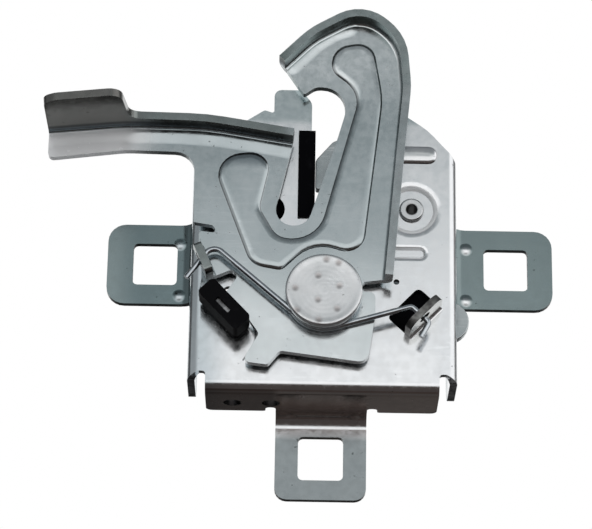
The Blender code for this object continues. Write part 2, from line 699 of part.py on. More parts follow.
def coil(radius, start, sweep, y0, y1, step=math.radians(12)):
    """Points of a coil about the pivot, from angle start through sweep, moving evenly from y0 to y1."""
    steps = max(3, round(abs(sweep) / step))
    turns = [k / steps for k in range(steps + 1)]
    return [(radius * math.cos(start + sweep * t), y0 + (y1 - y0) * t, radius * math.sin(start + sweep * t))
            for t in turns]


def catch_spring(steel):
    """The safety catch's torsion spring: left leg over the lever's anchor, right leg in the right lug's eye."""
    tail = fillet([(-40.5, 4.1, 0), (-32.9, 14.7, 3.1), (-20.0, 3.8, 0)], closed=False)[:-1]
    enter = tangent(CATCH_COIL_R, tail[-1][0], tail[-1][1], 1)
    n = (-math.sin(LUG_ANGLE), math.cos(LUG_ANGLE))
    eye = (LUG_X - 0.2 - LUG_EYE_OFF * n[1], LUG_Z - 0.2 + LUG_EYE_OFF * n[0])
    before = (eye[0] + n[0] * 3.9, eye[1] + n[1] * 3.9)
    after = (eye[0] - n[0] * 3.1, eye[1] - n[1] * 3.1)
    leave = tangent(CATCH_COIL_R, *before, -1)
    sweep = (leave - enter) % (2 * math.pi) + 2 * math.pi
    front = CATCH_COIL_Y - CATCH_PITCH
    ring = coil(CATCH_COIL_R, enter, sweep, front, CATCH_COIL_Y)
    leg = fillet([(ring[-1][0], ring[-1][2], 0), (*before, 1.6), (*after, 1.3), (after[0] - 2.4, after[1] - 4.6, 0)],
                 closed=False)[1:]
    eye_y = PLATE_Y - LUG_BEND_R - LUG_EYE_H
    right = [(x, CATCH_COIL_Y if k == 0 else eye_y, z) for k, (x, z) in enumerate(leg)]
    left = [(x, front, z) for x, z in tail]
    return wire("catch_spring", left + ring + right[1:], CATCH_WIRE, steel)


def hook_spring(steel):
    """The primary hook's torsion spring: front leg on the hook's shoulder, rear leg on the stop rivet."""
    shoulder = (-HOOK_BOSS_R - 2.6, HOOK_WIRE / 2 + GAP)
    off = STOP_R + HOOK_WIRE / 2 + GAP
    turn = math.atan2(DISH[1], DISH[0])
    rest = (DISH[0] - math.sin(turn) * off, DISH[1] + math.cos(turn) * off)
    start = tangent(HOOK_COIL_R, *shoulder, -1)
    stop = tangent(HOOK_COIL_R, *rest, 1)
    sweep = (stop - start) % (2 * math.pi) - 4 * math.pi
    ring = coil(HOOK_COIL_R, start, sweep, HOOK_COIL_Y, HOOK_COIL_END)
    grip = [(shoulder[0], HOOK_Y + 0.6, shoulder[1]), (shoulder[0], HOOK_COIL_Y - 0.9, shoulder[1]),
            (shoulder[0] + 0.5, HOOK_COIL_Y, shoulder[1] + 0.25)]
    away = unit(rest[0] - ring[-1][0], rest[1] - ring[-1][2])
    end = (rest[0] + away[0] * 5.0, HOOK_COIL_END, rest[1] + away[1] * 5.0)
    return wire("hook_spring", grip + ring + [end], HOOK_WIRE, steel)


def stop_buffer(rubber):
    """The rubber sleeve on the left lug: the lever's edge rests on its upper right side."""
    centre, e, n = buffer_frame()
    half = BUFFER_L / 2
    angle = math.atan2(-e[1], -e[0])
    front = PLATE_Y - LUG_H - GAP
    far, near = -BUFFER_FAR_SIDE, BUFFER_LEVER_SIDE
    outline = turned(rectangle(-half, far, half, near, 1.2), *centre, angle)
    foot = turned(rectangle(-half + BUFFER_STEP, far + BUFFER_STEP, half - BUFFER_STEP, near - 0.1, 0.8), *centre, angle)
    hold_l, hold_t = LUG_W / 2 + GAP, HOUSING_T / 2 + GAP
    socket = turned(rectangle(-hold_l, -hold_t, hold_l, hold_t, 0.4), *centre, angle)
    slit_l, slit_t = BUFFER_SLIT[0] / 2, BUFFER_SLIT[1] / 2
    slit = turned(rectangle(-slit_l, -slit_t, slit_l, slit_t, 0.2), *centre, angle)
    bm = bmesh.new()
    back, nose = PLATE_Y - GAP, front - BUFFER_NOSE
    step = nose + BUFFER_BLOCK
    for loop, y0, y1 in ((foot, back, step), (outline, step, nose), (socket, back, front), (slit, front, nose)):
        for (ax, az), (bx, bz) in zip(loop, loop[1:] + loop[:1]):
            ring = [(ax, y0, az), (bx, y0, bz), (bx, y1, bz), (ax, y1, az)]
            bm.faces.new([bm.verts.new(Vector(p) * MM) for p in ring])
    for loop, hole, y in ((foot, socket, back), (outline, foot, step), (socket, slit, front), (outline, slit, nose)):
        skin(bm, loop, [hole], lambda u, v, y=y: (u, y, v))
    bmesh.ops.remove_doubles(bm, verts=bm.verts[:], dist=2e-6)
    bmesh.ops.recalc_face_normals(bm, faces=bm.faces[:])
    return finish("stop_buffer", bm, rubber)


def striker_guide(plastic):
    """The plastic guide on the left edge of the striker slot: a C-shaped channel whose back lip ends in a clip.

    The clip lies behind the plate and its boss sits in the round hole beside the slot.
    """
    face = SLOT_LEFT + GAP + 0.9
    inner_x = SLOT_LEFT + GAP
    lip = SLOT_LEFT - GUIDE_LIP
    front, back = PLATE_Y - GAP, PLATE_BACK + GAP
    rear = back + GUIDE_BACK
    section = [
        (lip, front - GUIDE_WALL), (face, front - GUIDE_WALL), (face, rear), (lip, rear), (lip, back), (inner_x, back),
        (inner_x, front), (lip, front),
    ]
    bm = bmesh.new()
    for z in (GUIDE_FOOT, GUIDE_TOP):
        skin(bm, section, [], lambda u, v, z=z: (u, v, z))
    for k in (0, 1, 5, 6, 7):
        (ax, ay), (bx, by) = section[k], section[(k + 1) % len(section)]
        ring = [(ax, ay, GUIDE_FOOT), (bx, by, GUIDE_FOOT), (bx, by, GUIDE_TOP), (ax, ay, GUIDE_TOP)]
        bm.faces.new([bm.verts.new(Vector(p) * MM) for p in ring])
    hx, hz = LIGHTENING_HOLE
    wide = LIGHTENING_HOLE_R + CLIP_MARGIN
    clip = fillet([
        (lip, GUIDE_FOOT, 0), (lip - 2.0, hz - wide, 2), (hx - wide, hz - wide, wide * 0.98),
        (hx - wide, hz + wide, wide * 0.98), (lip, hz + wide, 1.0), (lip, GUIDE_TOP, 0),
    ], closed=False)
    for (ax, az), (bx, bz) in zip(clip, clip[1:]):
        ring = [(ax, back, az), (bx, back, bz), (bx, rear, bz), (ax, rear, az)]
        bm.faces.new([bm.verts.new(Vector(p) * MM) for p in ring])
    boss = Pressing(circle(hx, hz, CLIP_BOSS_R, 20), -CLIP_BOSS_H, CLIP_BOSS_R * 0.6)
    skin(bm, clip + [(face, GUIDE_TOP), (face, GUIDE_FOOT)], [], lambda u, v: (u, rear, v))
    skin(bm, clip + [(inner_x, GUIDE_TOP), (inner_x, GUIDE_FOOT)], [], lambda u, v: (u, back, v), pressings=[boss])
    bmesh.ops.remove_doubles(bm, verts=bm.verts[:], dist=2e-6)
    bmesh.ops.recalc_face_normals(bm, faces=bm.faces[:])
    return finish("striker_guide", bm, plastic)


def glide_pad(plastic):
    """The black pad behind the right window, which keeps the hook's arm off the plate."""
    half, end = LUG_W / 2 + PAD_MARGIN, WINDOW_L - LUG_ROOT + PAD_MARGIN
    outline = turned(rectangle(-half, -LUG_ROOT - PAD_MARGIN, half, end, 2), LUG_X, LUG_Z, LUG_ANGLE)
    front = PLATE_BACK + GAP
    return slab("glide_pad", outline, [], front, front + PAD_T, plastic)


def washer(name, radius, y0, thickness, steel):
    """A flat washer on the pivot."""
    bore = SHANK_R + GAP
    profile = [(bore, y0), (radius, y0), (radius, y0 + thickness), (bore, y0 + thickness)]
    return revolve(name, profile, steel, sides=32)


def pivot_parts(zinc):
    """The pivot rivet with its washers and the collar inside the catch spring."""
    shank_end = PEEN_Y + PEEN_T
    revolve("pivot_rivet", [
        (0, HEAD_FRONT), (HEAD_R - 0.5, HEAD_FRONT), (HEAD_R, HEAD_FRONT + 0.5), (HEAD_R, HEAD_BACK),
        (SHANK_R, HEAD_BACK), (SHANK_R, PEEN_Y), (PEEN_R, PEEN_Y), (PEEN_R, PEEN_Y + 0.8),
        (PEEN_R - 1.4, shank_end), (0, shank_end),
    ], zinc, sides=48)
    washer("front_washer", FRONT_WASHER_R, LEVER_BACK + GAP, FRONT_WASHER_T, zinc)
    washer("back_washer", BACK_WASHER_R, PLATE_BACK + GAP, BACK_WASHER_T, zinc)
    washer("end_washer", END_WASHER_R, END_WASHER_Y, END_WASHER_T, zinc)
    collar_r = CATCH_COIL_R - CATCH_WIRE / 2 - GAP
    length = LEVER_Y - HEAD_BACK - 2 * GAP
    washer("spring_collar", collar_r, HEAD_BACK + GAP, length, zinc)
    back_collar_r = HOOK_COIL_R - HOOK_WIRE / 2 - GAP
    length = END_WASHER_Y - HOOK_BACK - 2 * GAP
    washer("hook_collar", back_collar_r, HOOK_BACK + GAP, length, zinc)


def stop_rivet(zinc):
    """The hollow rivet in the dish: the primary hook opens against it and its spring leans on it."""
    floor = PLATE_Y + DISH_DEPTH
    end = HOOK_COIL_END + HOOK_WIRE / 2 + 2 * GAP
    return revolve("stop_rivet", [
        (STOP_BORE_R, floor - GAP - STOP_HEAD_T), (STOP_HEAD_R - 0.4, floor - GAP - STOP_HEAD_T),
        (STOP_HEAD_R, floor - GAP - STOP_HEAD_T + 0.4), (STOP_HEAD_R, floor - GAP), (STOP_R, floor - GAP),
        (STOP_R, end), (STOP_HEAD_R + 0.6, end), (STOP_HEAD_R + 0.6, end + 1.2), (STOP_BORE_R, end + 1.2),
    ], zinc, x=DISH[0], z=DISH[1], sides=28)


def main():
    for obj in list(bpy.data.objects):
        bpy.data.objects.remove(obj, do_unlink=True)
    zinc = material("zinc_steel", (0.55, 0.60, 0.62), 1.0, 0.38)
    rivet_zinc = material("zinc_rivet", (0.66, 0.68, 0.68), 1.0, 0.42)
    spring_steel = material("spring_steel", (0.50, 0.53, 0.56), 1.0, 0.30)
    rubber = material("black_rubber", (0.012, 0.012, 0.014), 0.0, 0.60)
    plastic = material("black_plastic", (0.010, 0.010, 0.012), 0.0, 0.45)
    housing(zinc)
    lever(zinc)
    primary_hook(zinc)
    pivot_parts(rivet_zinc)
    stop_rivet(rivet_zinc)
    catch_spring(spring_steel)
    hook_spring(spring_steel)
    stop_buffer(rubber)
    striker_guide(plastic)
    glide_pad(plastic)


main()
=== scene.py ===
"""Looks of the bonnet latch: zinc-plated pressings, rivets, springs and black plastic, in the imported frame."""

import math

import bmesh
import bpy
from mathutils import Matrix, Vector


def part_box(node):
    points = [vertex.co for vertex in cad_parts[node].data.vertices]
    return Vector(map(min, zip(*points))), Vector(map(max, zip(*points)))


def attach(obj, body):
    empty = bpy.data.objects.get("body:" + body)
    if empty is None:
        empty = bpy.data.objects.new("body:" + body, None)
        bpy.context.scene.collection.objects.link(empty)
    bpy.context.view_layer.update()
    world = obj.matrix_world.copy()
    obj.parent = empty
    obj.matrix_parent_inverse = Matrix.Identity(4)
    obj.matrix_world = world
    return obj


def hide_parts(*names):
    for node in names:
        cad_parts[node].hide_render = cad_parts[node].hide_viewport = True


MM = 0.001

# Camera, found from the ears' square holes and the pivot's head
CAMERA_TARGET = Vector((0.0, -34.9, 0.0)) * MM
CAMERA_DISTANCE = 765 * MM
CAMERA_RISE = math.radians(-21.7)
CAMERA_TURN = math.radians(-0.7)
CAMERA_ROLL = math.radians(0.75)
TARGET_PIXEL = (324, 289)
PIXEL_SIZE = 0.292 * MM
IMAGE = (592, 529)

# Rolled edges of the pressings, and how sharp a corner has to be to get one
SHEET_EDGE = 0.28 * MM
SHARP = math.radians(38)
MERGE = 0.002 * MM

# The pivot rivet's head and the punch marks in it, as (x, z) from the pivot's axis
HEAD_MARKS = [(-1.7, 4.3), (-8.4, 0.3), (4.5, 1.2), (-1.7, -3.3), (-7.8, -6.6), (3.9, -6.0), (-1.4, -9.6),
              (0.6, 9.4), (4.2, 8.4)]
MARK_RADIUS = 1.15 * MM
MARK_DEPTH = 0.05 * MM
HEAD_RINGS = 46
HEAD_SIDES = 144

# Springs: wire, coil and legs about the pivot's axis
WIRE_SIDES = 20
COIL_STEP = math.radians(6)

# Cut edges and pressed shapes are told by their angles, widths and depths
CUT_ANGLE = math.radians(50)
CUT_WIDTH = 2.7 * MM
CREASE_ANGLE = math.radians(36.5)
PRESSED = (0.3 * MM, 1.3 * MM)

# Front planes of the plate and the lever, and where the lever's plate ends and its turned-up flange begins
PLATE_Y = -24.5 * MM
LEVER_Y = -28.7 * MM
LEVER_Y_SOFT = (-28.95 * MM, -28.75 * MM)
FLANGE_Y = (-31.4 * MM, -30.2 * MM)

# Pressed dents that stiffen the ears' roots, as (x, y, z, radius)
DENT_H = 0.42 * MM
EAR_DENTS = [(43.9, -2.7, 26.8, 2.2), (43.8, -2.7, 9.9, 2.2), (-43.9, -2.7, 26.8, 2.2), (-43.8, -2.7, 9.9, 2.2),
             (-8.6, -4.4, -29.8, 2.4), (9.7, -4.4, -29.8, 2.4)]

# Lines on the pressings, as (x, z): the foot of the lever's turned-up flange, and a thin dark line below the buffer;
# and spots of painted shadow cast by the buffer on the plate, as (x, y, z, radius)
FOLD = [(-84.0, 50.4), (-74.0, 52.0), (-59.0, 52.6), (-44.0, 52.6), (-31.9, 51.8), (-19.8, 50.1), (-10.1, 48.3)]
HOOK_FOLD = [(-10.6, 75.6), (-3.8, 82.9), (1.4, 86.8), (6.7, 88.9)]
FOLD_H = 0.34 * MM
FOLD_W, HOOK_FOLD_W, HOOK_FOLD_SHARE = 4.2, 3.4, 0.55
SCORE = [(-20.0, -9.6), (-19.9, -12.4), (-21.1, -15.2), (-23.3, -18.7)]
SCORE_W = 0.42
SCUFFS = [(-25.3, -24.5, -10.9, 5.0), (-28.6, -24.5, -7.6, 3.6)]

# Colours of wear and dust, of dark cut steel with its painted rim shade, of painted crease shade, and of the painted
# highlight on rolled edges
RUBBED = (0.93, 0.95, 0.96, 1)
SPECK = (0.20, 0.21, 0.21, 1)
CUT_STEEL = (0.045, 0.042, 0.042, 1)
CREASE_DIRT = (0.05, 0.055, 0.055, 1)
PALE_DUST = (0.16, 0.16, 0.17, 1)

# Tones for parts of the housing, the lever and the rivets: most are painted shade, the punch marks and the stop rivet's
# rim joint are darker, and the dull whitish ones with their share are painted light
LEFT_EAR = (0.30, 0.36, 0.36, 1)
RIGHT_EAR = (0.27, 0.33, 0.33, 1)
FOOT_EAR = (0.30, 0.33, 0.335, 1)
UNDERSIDE = (0.74, 0.62, 0.56, 1)
UNDERSIDE_LEFT = (0.42, 0.40, 0.40, 1)
DRAIN_BORE = (0.06, 0.05, 0.05, 1)
GUIDE_TAB = (0.63, 0.69, 0.69, 1)
LEFT_SIDE = (0.68, 0.73, 0.75, 1)
RIGHT_LUG = (0.60, 0.60, 0.57, 1)
SCUFF = (0.42, 0.42, 0.42, 1)
SCORED = (0.16, 0.17, 0.17, 1)
LEVER_MIDDLE = (0.67, 0.70, 0.71, 1)
HANDLE_FLANGE = (0.60, 0.62, 0.60, 1)
PAD_FLANGE = (0.80, 0.70, 0.67, 1)
FLANGE_FOOT = (0.34, 0.37, 0.40, 1)
HOOK_FLANGE = (0.66, 0.71, 0.70, 1)
HOOK_FLANGE_SIDE = (0.36, 0.41, 0.41, 1)
PUNCH_DIRT = (0.60, 0.56, 0.55, 1)
STOP_BORE = (0.22, 0.22, 0.22, 1)
STOP_RIM = (0.30, 0.30, 0.30, 1)
DULL_WALL = (0.95, 0.96, 0.97, 1)
DULL_PAD = (0.97, 0.98, 0.99, 1)
DULL_SHARE = 0.9

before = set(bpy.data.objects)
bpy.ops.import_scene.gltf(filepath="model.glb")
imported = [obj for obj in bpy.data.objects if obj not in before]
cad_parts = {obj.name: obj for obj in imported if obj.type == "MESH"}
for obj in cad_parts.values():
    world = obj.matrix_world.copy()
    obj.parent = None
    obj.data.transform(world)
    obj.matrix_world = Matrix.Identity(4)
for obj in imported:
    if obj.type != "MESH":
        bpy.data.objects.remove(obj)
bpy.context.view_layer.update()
stop_low, stop_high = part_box("stop_rivet")
DISH = ((stop_low.x + stop_high.x) / 2 / MM, (stop_low.z + stop_high.z) / 2 / MM)


def link(obj):
    bpy.context.scene.collection.objects.link(obj)
    return obj


class Nodes:
    """A short way to write a shader: add a node, set its values and join its inputs."""

    def __init__(self, tree):
        self.tree = tree

    def add(self, kind, inputs=None, **settings):
        node = self.tree.nodes.new(kind)
        for name, value in settings.items():
            setattr(node, name, value)
        self.fill(node, inputs or {})
        return node

    def fill(self, node, inputs):
        for name, value in inputs.items():
            if isinstance(value, bpy.types.NodeSocket):
                self.tree.links.new(value, node.inputs[name])
            else:
                node.inputs[name].default_value = value

    def math(self, operation, a, b=0.0, clamp=False):
        return self.add("ShaderNodeMath", {0: a, 1: b}, operation=operation, use_clamp=clamp).outputs[0]

    def product(self, first, *others):
        for other in others:
            first = self.math("MULTIPLY", first, other)
        return first

    def inverse(self, value):
        return self.math("SUBTRACT", 1.0, value)

    def parts(self, vector):
        """The X, Y and Z of a vector."""
        axes = self.add("ShaderNodeSeparateXYZ", {"Vector": vector}).outputs
        return axes["X"], axes["Y"], axes["Z"]

    def facing(self):
        """The X, Y and Z of the direction that the surface faces."""
        return self.parts(self.add("ShaderNodeNewGeometry").outputs["True Normal"])

    def mix(self, factor, a, b, blend="MIX"):
        node = self.add("ShaderNodeMix", {"Factor": factor}, data_type="RGBA", blend_type=blend)
        for socket, value in ((node.inputs[6], a), (node.inputs[7], b)):
            if isinstance(value, bpy.types.NodeSocket):
                self.tree.links.new(value, socket)
            else:
                socket.default_value = value
        return node.outputs[2]

    def ramp(self, value, stops):
        node = self.add("ShaderNodeValToRGB", {"Fac": value})
        elements = node.color_ramp.elements
        while len(elements) < len(stops):
            elements.new(0.5)
        for element, (place, level) in zip(elements, stops):
            element.position = place
            element.color = (level, level, level, 1) if isinstance(level, float) else (*level, 1)
        return node.outputs["Color"]

    def noise(self, vector, scale, detail=4.0, roughness=0.55, distortion=0.0):
        return self.add("ShaderNodeTexNoise", {
            "Vector": vector, "Scale": scale, "Detail": detail, "Roughness": roughness, "Distortion": distortion,
        }).outputs["Fac"]


def group(name, inputs, outputs):
    """An empty node group with named float, colour or vector sockets."""
    tree = bpy.data.node_groups.new(name, "ShaderNodeTree")
    kinds = {"F": "NodeSocketFloat", "C": "NodeSocketColor", "V": "NodeSocketVector"}
    for label, kind, value in inputs:
        socket = tree.interface.new_socket(label, in_out="INPUT", socket_type=kinds[kind])
        if value is not None:
            socket.default_value = value
    for label, kind in outputs:
        tree.interface.new_socket(label, in_out="OUTPUT", socket_type=kinds[kind])
    nodes = Nodes(tree)
    return tree, nodes, nodes.add("NodeGroupInput").outputs, nodes.add("NodeGroupOutput").inputs


def plating_group():
    """Zinc plating: cloudy patches, a fine pickled grain, handling scratches and grey dust in spots."""
    tree, n, given, out = group("plating", [
        ("Vector", "V", None), ("Light", "C", (0.8, 0.84, 0.86, 1)), ("Dark", "C", (0.5, 0.56, 0.58, 1)),
        ("Cloud Scale", "F", 90.0), ("Scratches", "F", 0.5), ("Roughness", "F", 0.34),
    ], [("Color", "C"), ("Roughness", "F"), ("Height", "F")])
    link_to = tree.links.new
    place = given["Vector"]
    cloud = n.noise(place, given["Cloud Scale"], 3.0, 0.5, 0.4)
    cloud = n.ramp(cloud, [(0.36, 0.0), (0.64, 1.0)])
    mottle = n.noise(place, 420.0, 4.0, 0.62)
    mottle = n.ramp(mottle, [(0.38, 0.0), (0.62, 1.0)])
    grain = n.noise(place, 2600.0, 2.0, 0.6)
    amount = n.math("MULTIPLY", cloud, 0.62)
    amount = n.math("ADD", amount, n.math("MULTIPLY", mottle, 0.26))
    amount = n.math("ADD", amount, n.math("MULTIPLY", grain, 0.12), clamp=True)
    colour = n.mix(amount, given["Dark"], given["Light"])
    lines = []
    for turn, scale in ((0.55, 520.0), (-0.9, 700.0), (1.45, 900.0)):
        turned = n.add("ShaderNodeMapping", {"Vector": place, "Rotation": (0, turn, 0), "Scale": (0.05, 1.0, 1.0)})
        line = n.noise(turned.outputs[0], scale, 1.0, 0.4, 0.3)
        lines.append(n.ramp(line, [(0.640, 0.0), (0.668, 1.0), (0.69, 0.0)]))
    scratch = n.math("MAXIMUM", n.math("MAXIMUM", lines[0], lines[1]), lines[2])
    where = n.ramp(n.noise(place, 60.0, 2.0), [(0.46, 0.0), (0.62, 1.0)])
    scratch = n.product(scratch, where, given["Scratches"])
    colour = n.mix(scratch, colour, RUBBED)
    specks = n.ramp(n.noise(place, 780.0, 1.0, 0.5), [(0.74, 0.0), (0.79, 1.0)])
    colour = n.mix(n.math("MULTIPLY", specks, 0.45), colour, SPECK)
    link_to(colour, out["Color"])
    rough = n.math("ADD", given["Roughness"], n.math("MULTIPLY", n.math("SUBTRACT", mottle, 0.5), 0.10))
    rough = n.math("ADD", rough, n.math("MULTIPLY", specks, 0.18))
    link_to(n.math("SUBTRACT", rough, n.math("MULTIPLY", scratch, 0.10), clamp=True), out["Roughness"])
    height = n.math("ADD", n.math("MULTIPLY", grain, 0.35), n.math("MULTIPLY", mottle, 0.5))
    link_to(n.math("SUBTRACT", height, n.math("MULTIPLY", scratch, 0.6)), out["Height"])
    return tree


def worn_group():
    """Cut edges are rough and dark, as darker sheared steel and painted rim shade; creases get painted shade; rolled
    edges are lightened, partly as wear and partly as a painted highlight.
    """
    tree, n, given, out = group("worn", [
        ("Color", "C", None), ("Roughness", "F", 0.3), ("Cut Edge", "F", 0.0), ("Crease", "F", 0.0),
        ("Rolled", "F", 0.0), ("Vector", "V", None), ("Bright", "F", 0.5), ("Dirt", "F", 0.6), ("Cut Dark", "F", 0.7),
    ], [("Color", "C"), ("Roughness", "F")])
    uneven = n.ramp(n.noise(given["Vector"], 300.0, 3.0, 0.6), [(0.30, 0.55), (0.62, 1.0)])
    # Cut edges are darkened: darker sheared steel, and painted shade for their dark rims
    cut = n.product(given["Cut Edge"], given["Cut Dark"], uneven)
    # Painted shade in the creases
    crease = n.product(given["Crease"], given["Dirt"], uneven)
    # Rolled edges are lightened: partly wear, partly a painted highlight
    rolled = n.product(given["Rolled"], given["Bright"], uneven)
    colour = n.mix(cut, given["Color"], CUT_STEEL)
    colour = n.mix(crease, colour, CREASE_DIRT)
    colour = n.mix(rolled, colour, RUBBED)
    tree.links.new(colour, out["Color"])
    tree.links.new(n.math("ADD", given["Roughness"], n.math("MULTIPLY", cut, 0.3), clamp=True), out["Roughness"])
    return tree


def spot_group():
    """A round spot of a given size about a centre: 1 in its middle, falling softly to 0 at its rim."""
    tree, n, given, out = group("spot", [("Vector", "V", None), ("Centre", "V", None), ("Radius", "F", 0.002)],
                                [("Mask", "F")])
    away = n.add("ShaderNodeVectorMath", {0: given["Vector"], 1: given["Centre"]}, operation="DISTANCE")
    share = n.math("DIVIDE", away.outputs["Value"], given["Radius"])
    fall = n.add("ShaderNodeMapRange", {"Value": share, "From Min": 1.0, "From Max": 0.15},
                 interpolation_type="SMOOTHSTEP")
    tree.links.new(fall.outputs["Result"], out["Mask"])
    return tree


def seam_group():
    """A soft line from one point to another across the width and height: 1 on it, falling to 0 at its width."""
    tree, n, given, out = group("seam", [("Vector", "V", None), ("Start", "V", None), ("End", "V", None),
                                         ("Width", "F", 0.002)], [("Mask", "F")])
    flat = n.add("ShaderNodeVectorMath", {0: given["Vector"], 1: (1, 0, 1)}, operation="MULTIPLY").outputs[0]
    reach = n.add("ShaderNodeVectorMath", {0: flat, 1: given["Start"]}, operation="SUBTRACT").outputs[0]
    whole = n.add("ShaderNodeVectorMath", {0: given["End"], 1: given["Start"]}, operation="SUBTRACT").outputs[0]
    along = n.add("ShaderNodeVectorMath", {0: reach, 1: whole}, operation="DOT_PRODUCT").outputs["Value"]
    length = n.add("ShaderNodeVectorMath", {0: whole, 1: whole}, operation="DOT_PRODUCT").outputs["Value"]
    share = n.math("DIVIDE", along, length, clamp=True)
    foot = n.add("ShaderNodeVectorMath", {0: whole, "Scale": share}, operation="SCALE").outputs[0]
    away = n.add("ShaderNodeVectorMath", {0: reach, 1: foot}, operation="DISTANCE").outputs["Value"]
    fall = n.add("ShaderNodeMapRange", {"Value": n.math("DIVIDE", away, given["Width"]), "From Min": 1.0,
                                        "From Max": 0.0}, interpolation_type="SMOOTHSTEP")
    tree.links.new(fall.outputs["Result"], out["Mask"])
    return tree


def new_material(name):
    made = bpy.data.materials.new(name)
    made.use_nodes = True
    tree = made.node_tree
    shader = tree.nodes["Principled BSDF"]
    return made, Nodes(tree), shader


def plated(name, light, dark, roughness=0.2, cloud=90.0, scratches=0.5, bright=0.45, dirt=0.6, cut=0.75,
           shade=None, dents=(), folds=(), pale=None):
    """A zinc-plated steel finish. shade(nodes, place) gives masks, each with the tone that it brings in, most of them
    painted shade; the painted light mask, where given, makes parts dull and whitish as painted light; folds are lines
    that the sheet sweeps up to, each with a width and a share of the full rise."""
    made, n, shader = new_material(name)
    place = n.add("ShaderNodeTexCoord").outputs["Object"]
    coat = n.add("ShaderNodeGroup", node_tree=PLATING)
    n.fill(coat, {"Vector": place, "Light": (*light, 1), "Dark": (*dark, 1), "Cloud Scale": cloud,
                  "Scratches": scratches, "Roughness": roughness})
    colour = coat.outputs["Color"]
    if shade:
        for mask, tone in shade(n, place):
            colour = n.mix(mask, colour, tone, "MULTIPLY")
    worn = n.add("ShaderNodeGroup", node_tree=WORN)
    n.fill(worn, {"Color": colour, "Roughness": coat.outputs["Roughness"], "Vector": place, "Bright": bright,
                  "Dirt": dirt, "Cut Dark": cut})
    for label, mark in (("Cut Edge", "cut_edge"), ("Crease", "crease"), ("Rolled", "rolled_edge")):
        n.fill(worn, {label: n.add("ShaderNodeAttribute", attribute_name=mark).outputs["Fac"]})
    colour = worn.outputs["Color"]
    shader.inputs["Metallic"].default_value = 1.0
    # Painted light: the mask makes the colour whitish and takes metal away
    if pale:
        mask, tone = pale(n, place)
        colour = n.mix(mask, colour, tone)
        n.tree.links.new(n.inverse(n.math("MULTIPLY", mask, DULL_SHARE)), shader.inputs["Metallic"])
    n.tree.links.new(colour, shader.inputs["Base Color"])
    n.tree.links.new(worn.outputs["Roughness"], shader.inputs["Roughness"])
    bump = n.add("ShaderNodeBump", {"Height": coat.outputs["Height"], "Strength": 0.12, "Distance": 0.02 * MM})
    if dents:
        bump = n.add("ShaderNodeBump", {"Height": spots(n, place, dents), "Strength": 1.0, "Distance": DENT_H,
                                        "Normal": bump.outputs["Normal"]})
    if folds:
        height = 0.0
        for line, width, share in folds:
            height = n.math("MAXIMUM", height, n.math("MULTIPLY", seams(n, place, line, width), share))
        height = n.math("MULTIPLY", height, smooth_step(n, n.parts(place)[1], *LEVER_Y_SOFT))
        bump = n.add("ShaderNodeBump", {"Height": height, "Strength": 1.0, "Distance": FOLD_H,
                                        "Normal": bump.outputs["Normal"]})
    n.tree.links.new(bump.outputs["Normal"], shader.inputs["Normal"])
    return made


def spots(n, place, centres):
    """The strongest of several round spots at a place: each is (x, y, z, radius) in millimetres."""
    total = 0.0
    for x, y, z, radius in centres:
        spot = n.add("ShaderNodeGroup", node_tree=SPOT)
        n.fill(spot, {"Vector": place, "Centre": (x * MM, y * MM, z * MM), "Radius": radius * MM})
        total = n.math("MAXIMUM", total, spot.outputs["Mask"])
    return total


def seams(n, place, line, width):
    """A soft line of the given width through (x, z) points in millimetres."""
    total = 0.0
    for (x0, z0), (x1, z1) in zip(line, line[1:]):
        part = n.add("ShaderNodeGroup", node_tree=SEAM)
        n.fill(part, {"Vector": place, "Start": (x0 * MM, 0, z0 * MM), "End": (x1 * MM, 0, z1 * MM),
                      "Width": width * MM})
        total = n.math("MAXIMUM", total, part.outputs["Mask"])
    return total


def ring(n, place, centre, low, high, soft):
    """1 between two radii about an (x, z) centre in millimetres, with soft edges."""
    flat = n.add("ShaderNodeVectorMath", {0: place, 1: (1, 0, 1)}, operation="MULTIPLY").outputs[0]
    away = n.add("ShaderNodeVectorMath", {0: flat, 1: (centre[0] * MM, 0, centre[1] * MM)}, operation="DISTANCE")
    return between(n, away.outputs["Value"], low * MM, high * MM, soft * MM)


def moulded(name, colour, roughness, gloss):
    """Black plastic or rubber with a fine uneven skin and a little pale dust."""
    made, n, shader = new_material(name)
    place = n.add("ShaderNodeTexCoord").outputs["Object"]
    skin = n.noise(place, 500.0, 4.0, 0.6)
    dust = n.ramp(n.noise(place, 260.0, 3.0, 0.6), [(0.58, 0.0), (0.85, 1.0)])
    tone = n.mix(n.math("MULTIPLY", dust, 0.06), (*colour, 1), PALE_DUST)
    n.tree.links.new(tone, shader.inputs["Base Color"])
    rough = n.math("ADD", roughness - 0.08, n.math("MULTIPLY", skin, 0.16))
    n.tree.links.new(rough, shader.inputs["Roughness"])
    shader.inputs["Specular IOR Level"].default_value = gloss
    bump = n.add("ShaderNodeBump", {"Height": skin, "Strength": 0.25, "Distance": 0.05 * MM})
    n.tree.links.new(bump.outputs["Normal"], shader.inputs["Normal"])
    return made


def smooth_step(n, value, low, high):
    """0 below low and 1 above high, in metres, with a soft change between."""
    node = n.add("ShaderNodeMapRange", {"Value": value, "From Min": low, "From Max": high},
                 interpolation_type="SMOOTHSTEP")
    return node.outputs["Result"]


def below(n, value, low, high):
    """1 below low and 0 above high, with a soft change between."""
    return n.inverse(smooth_step(n, value, low, high))


def between(n, value, low, high, soft):
    """1 from low to high and 0 outside, with a soft change at each end."""
    up = smooth_step(n, value, low - soft, low + soft)
    return n.math("MULTIPLY", up, below(n, value, high - soft, high + soft))


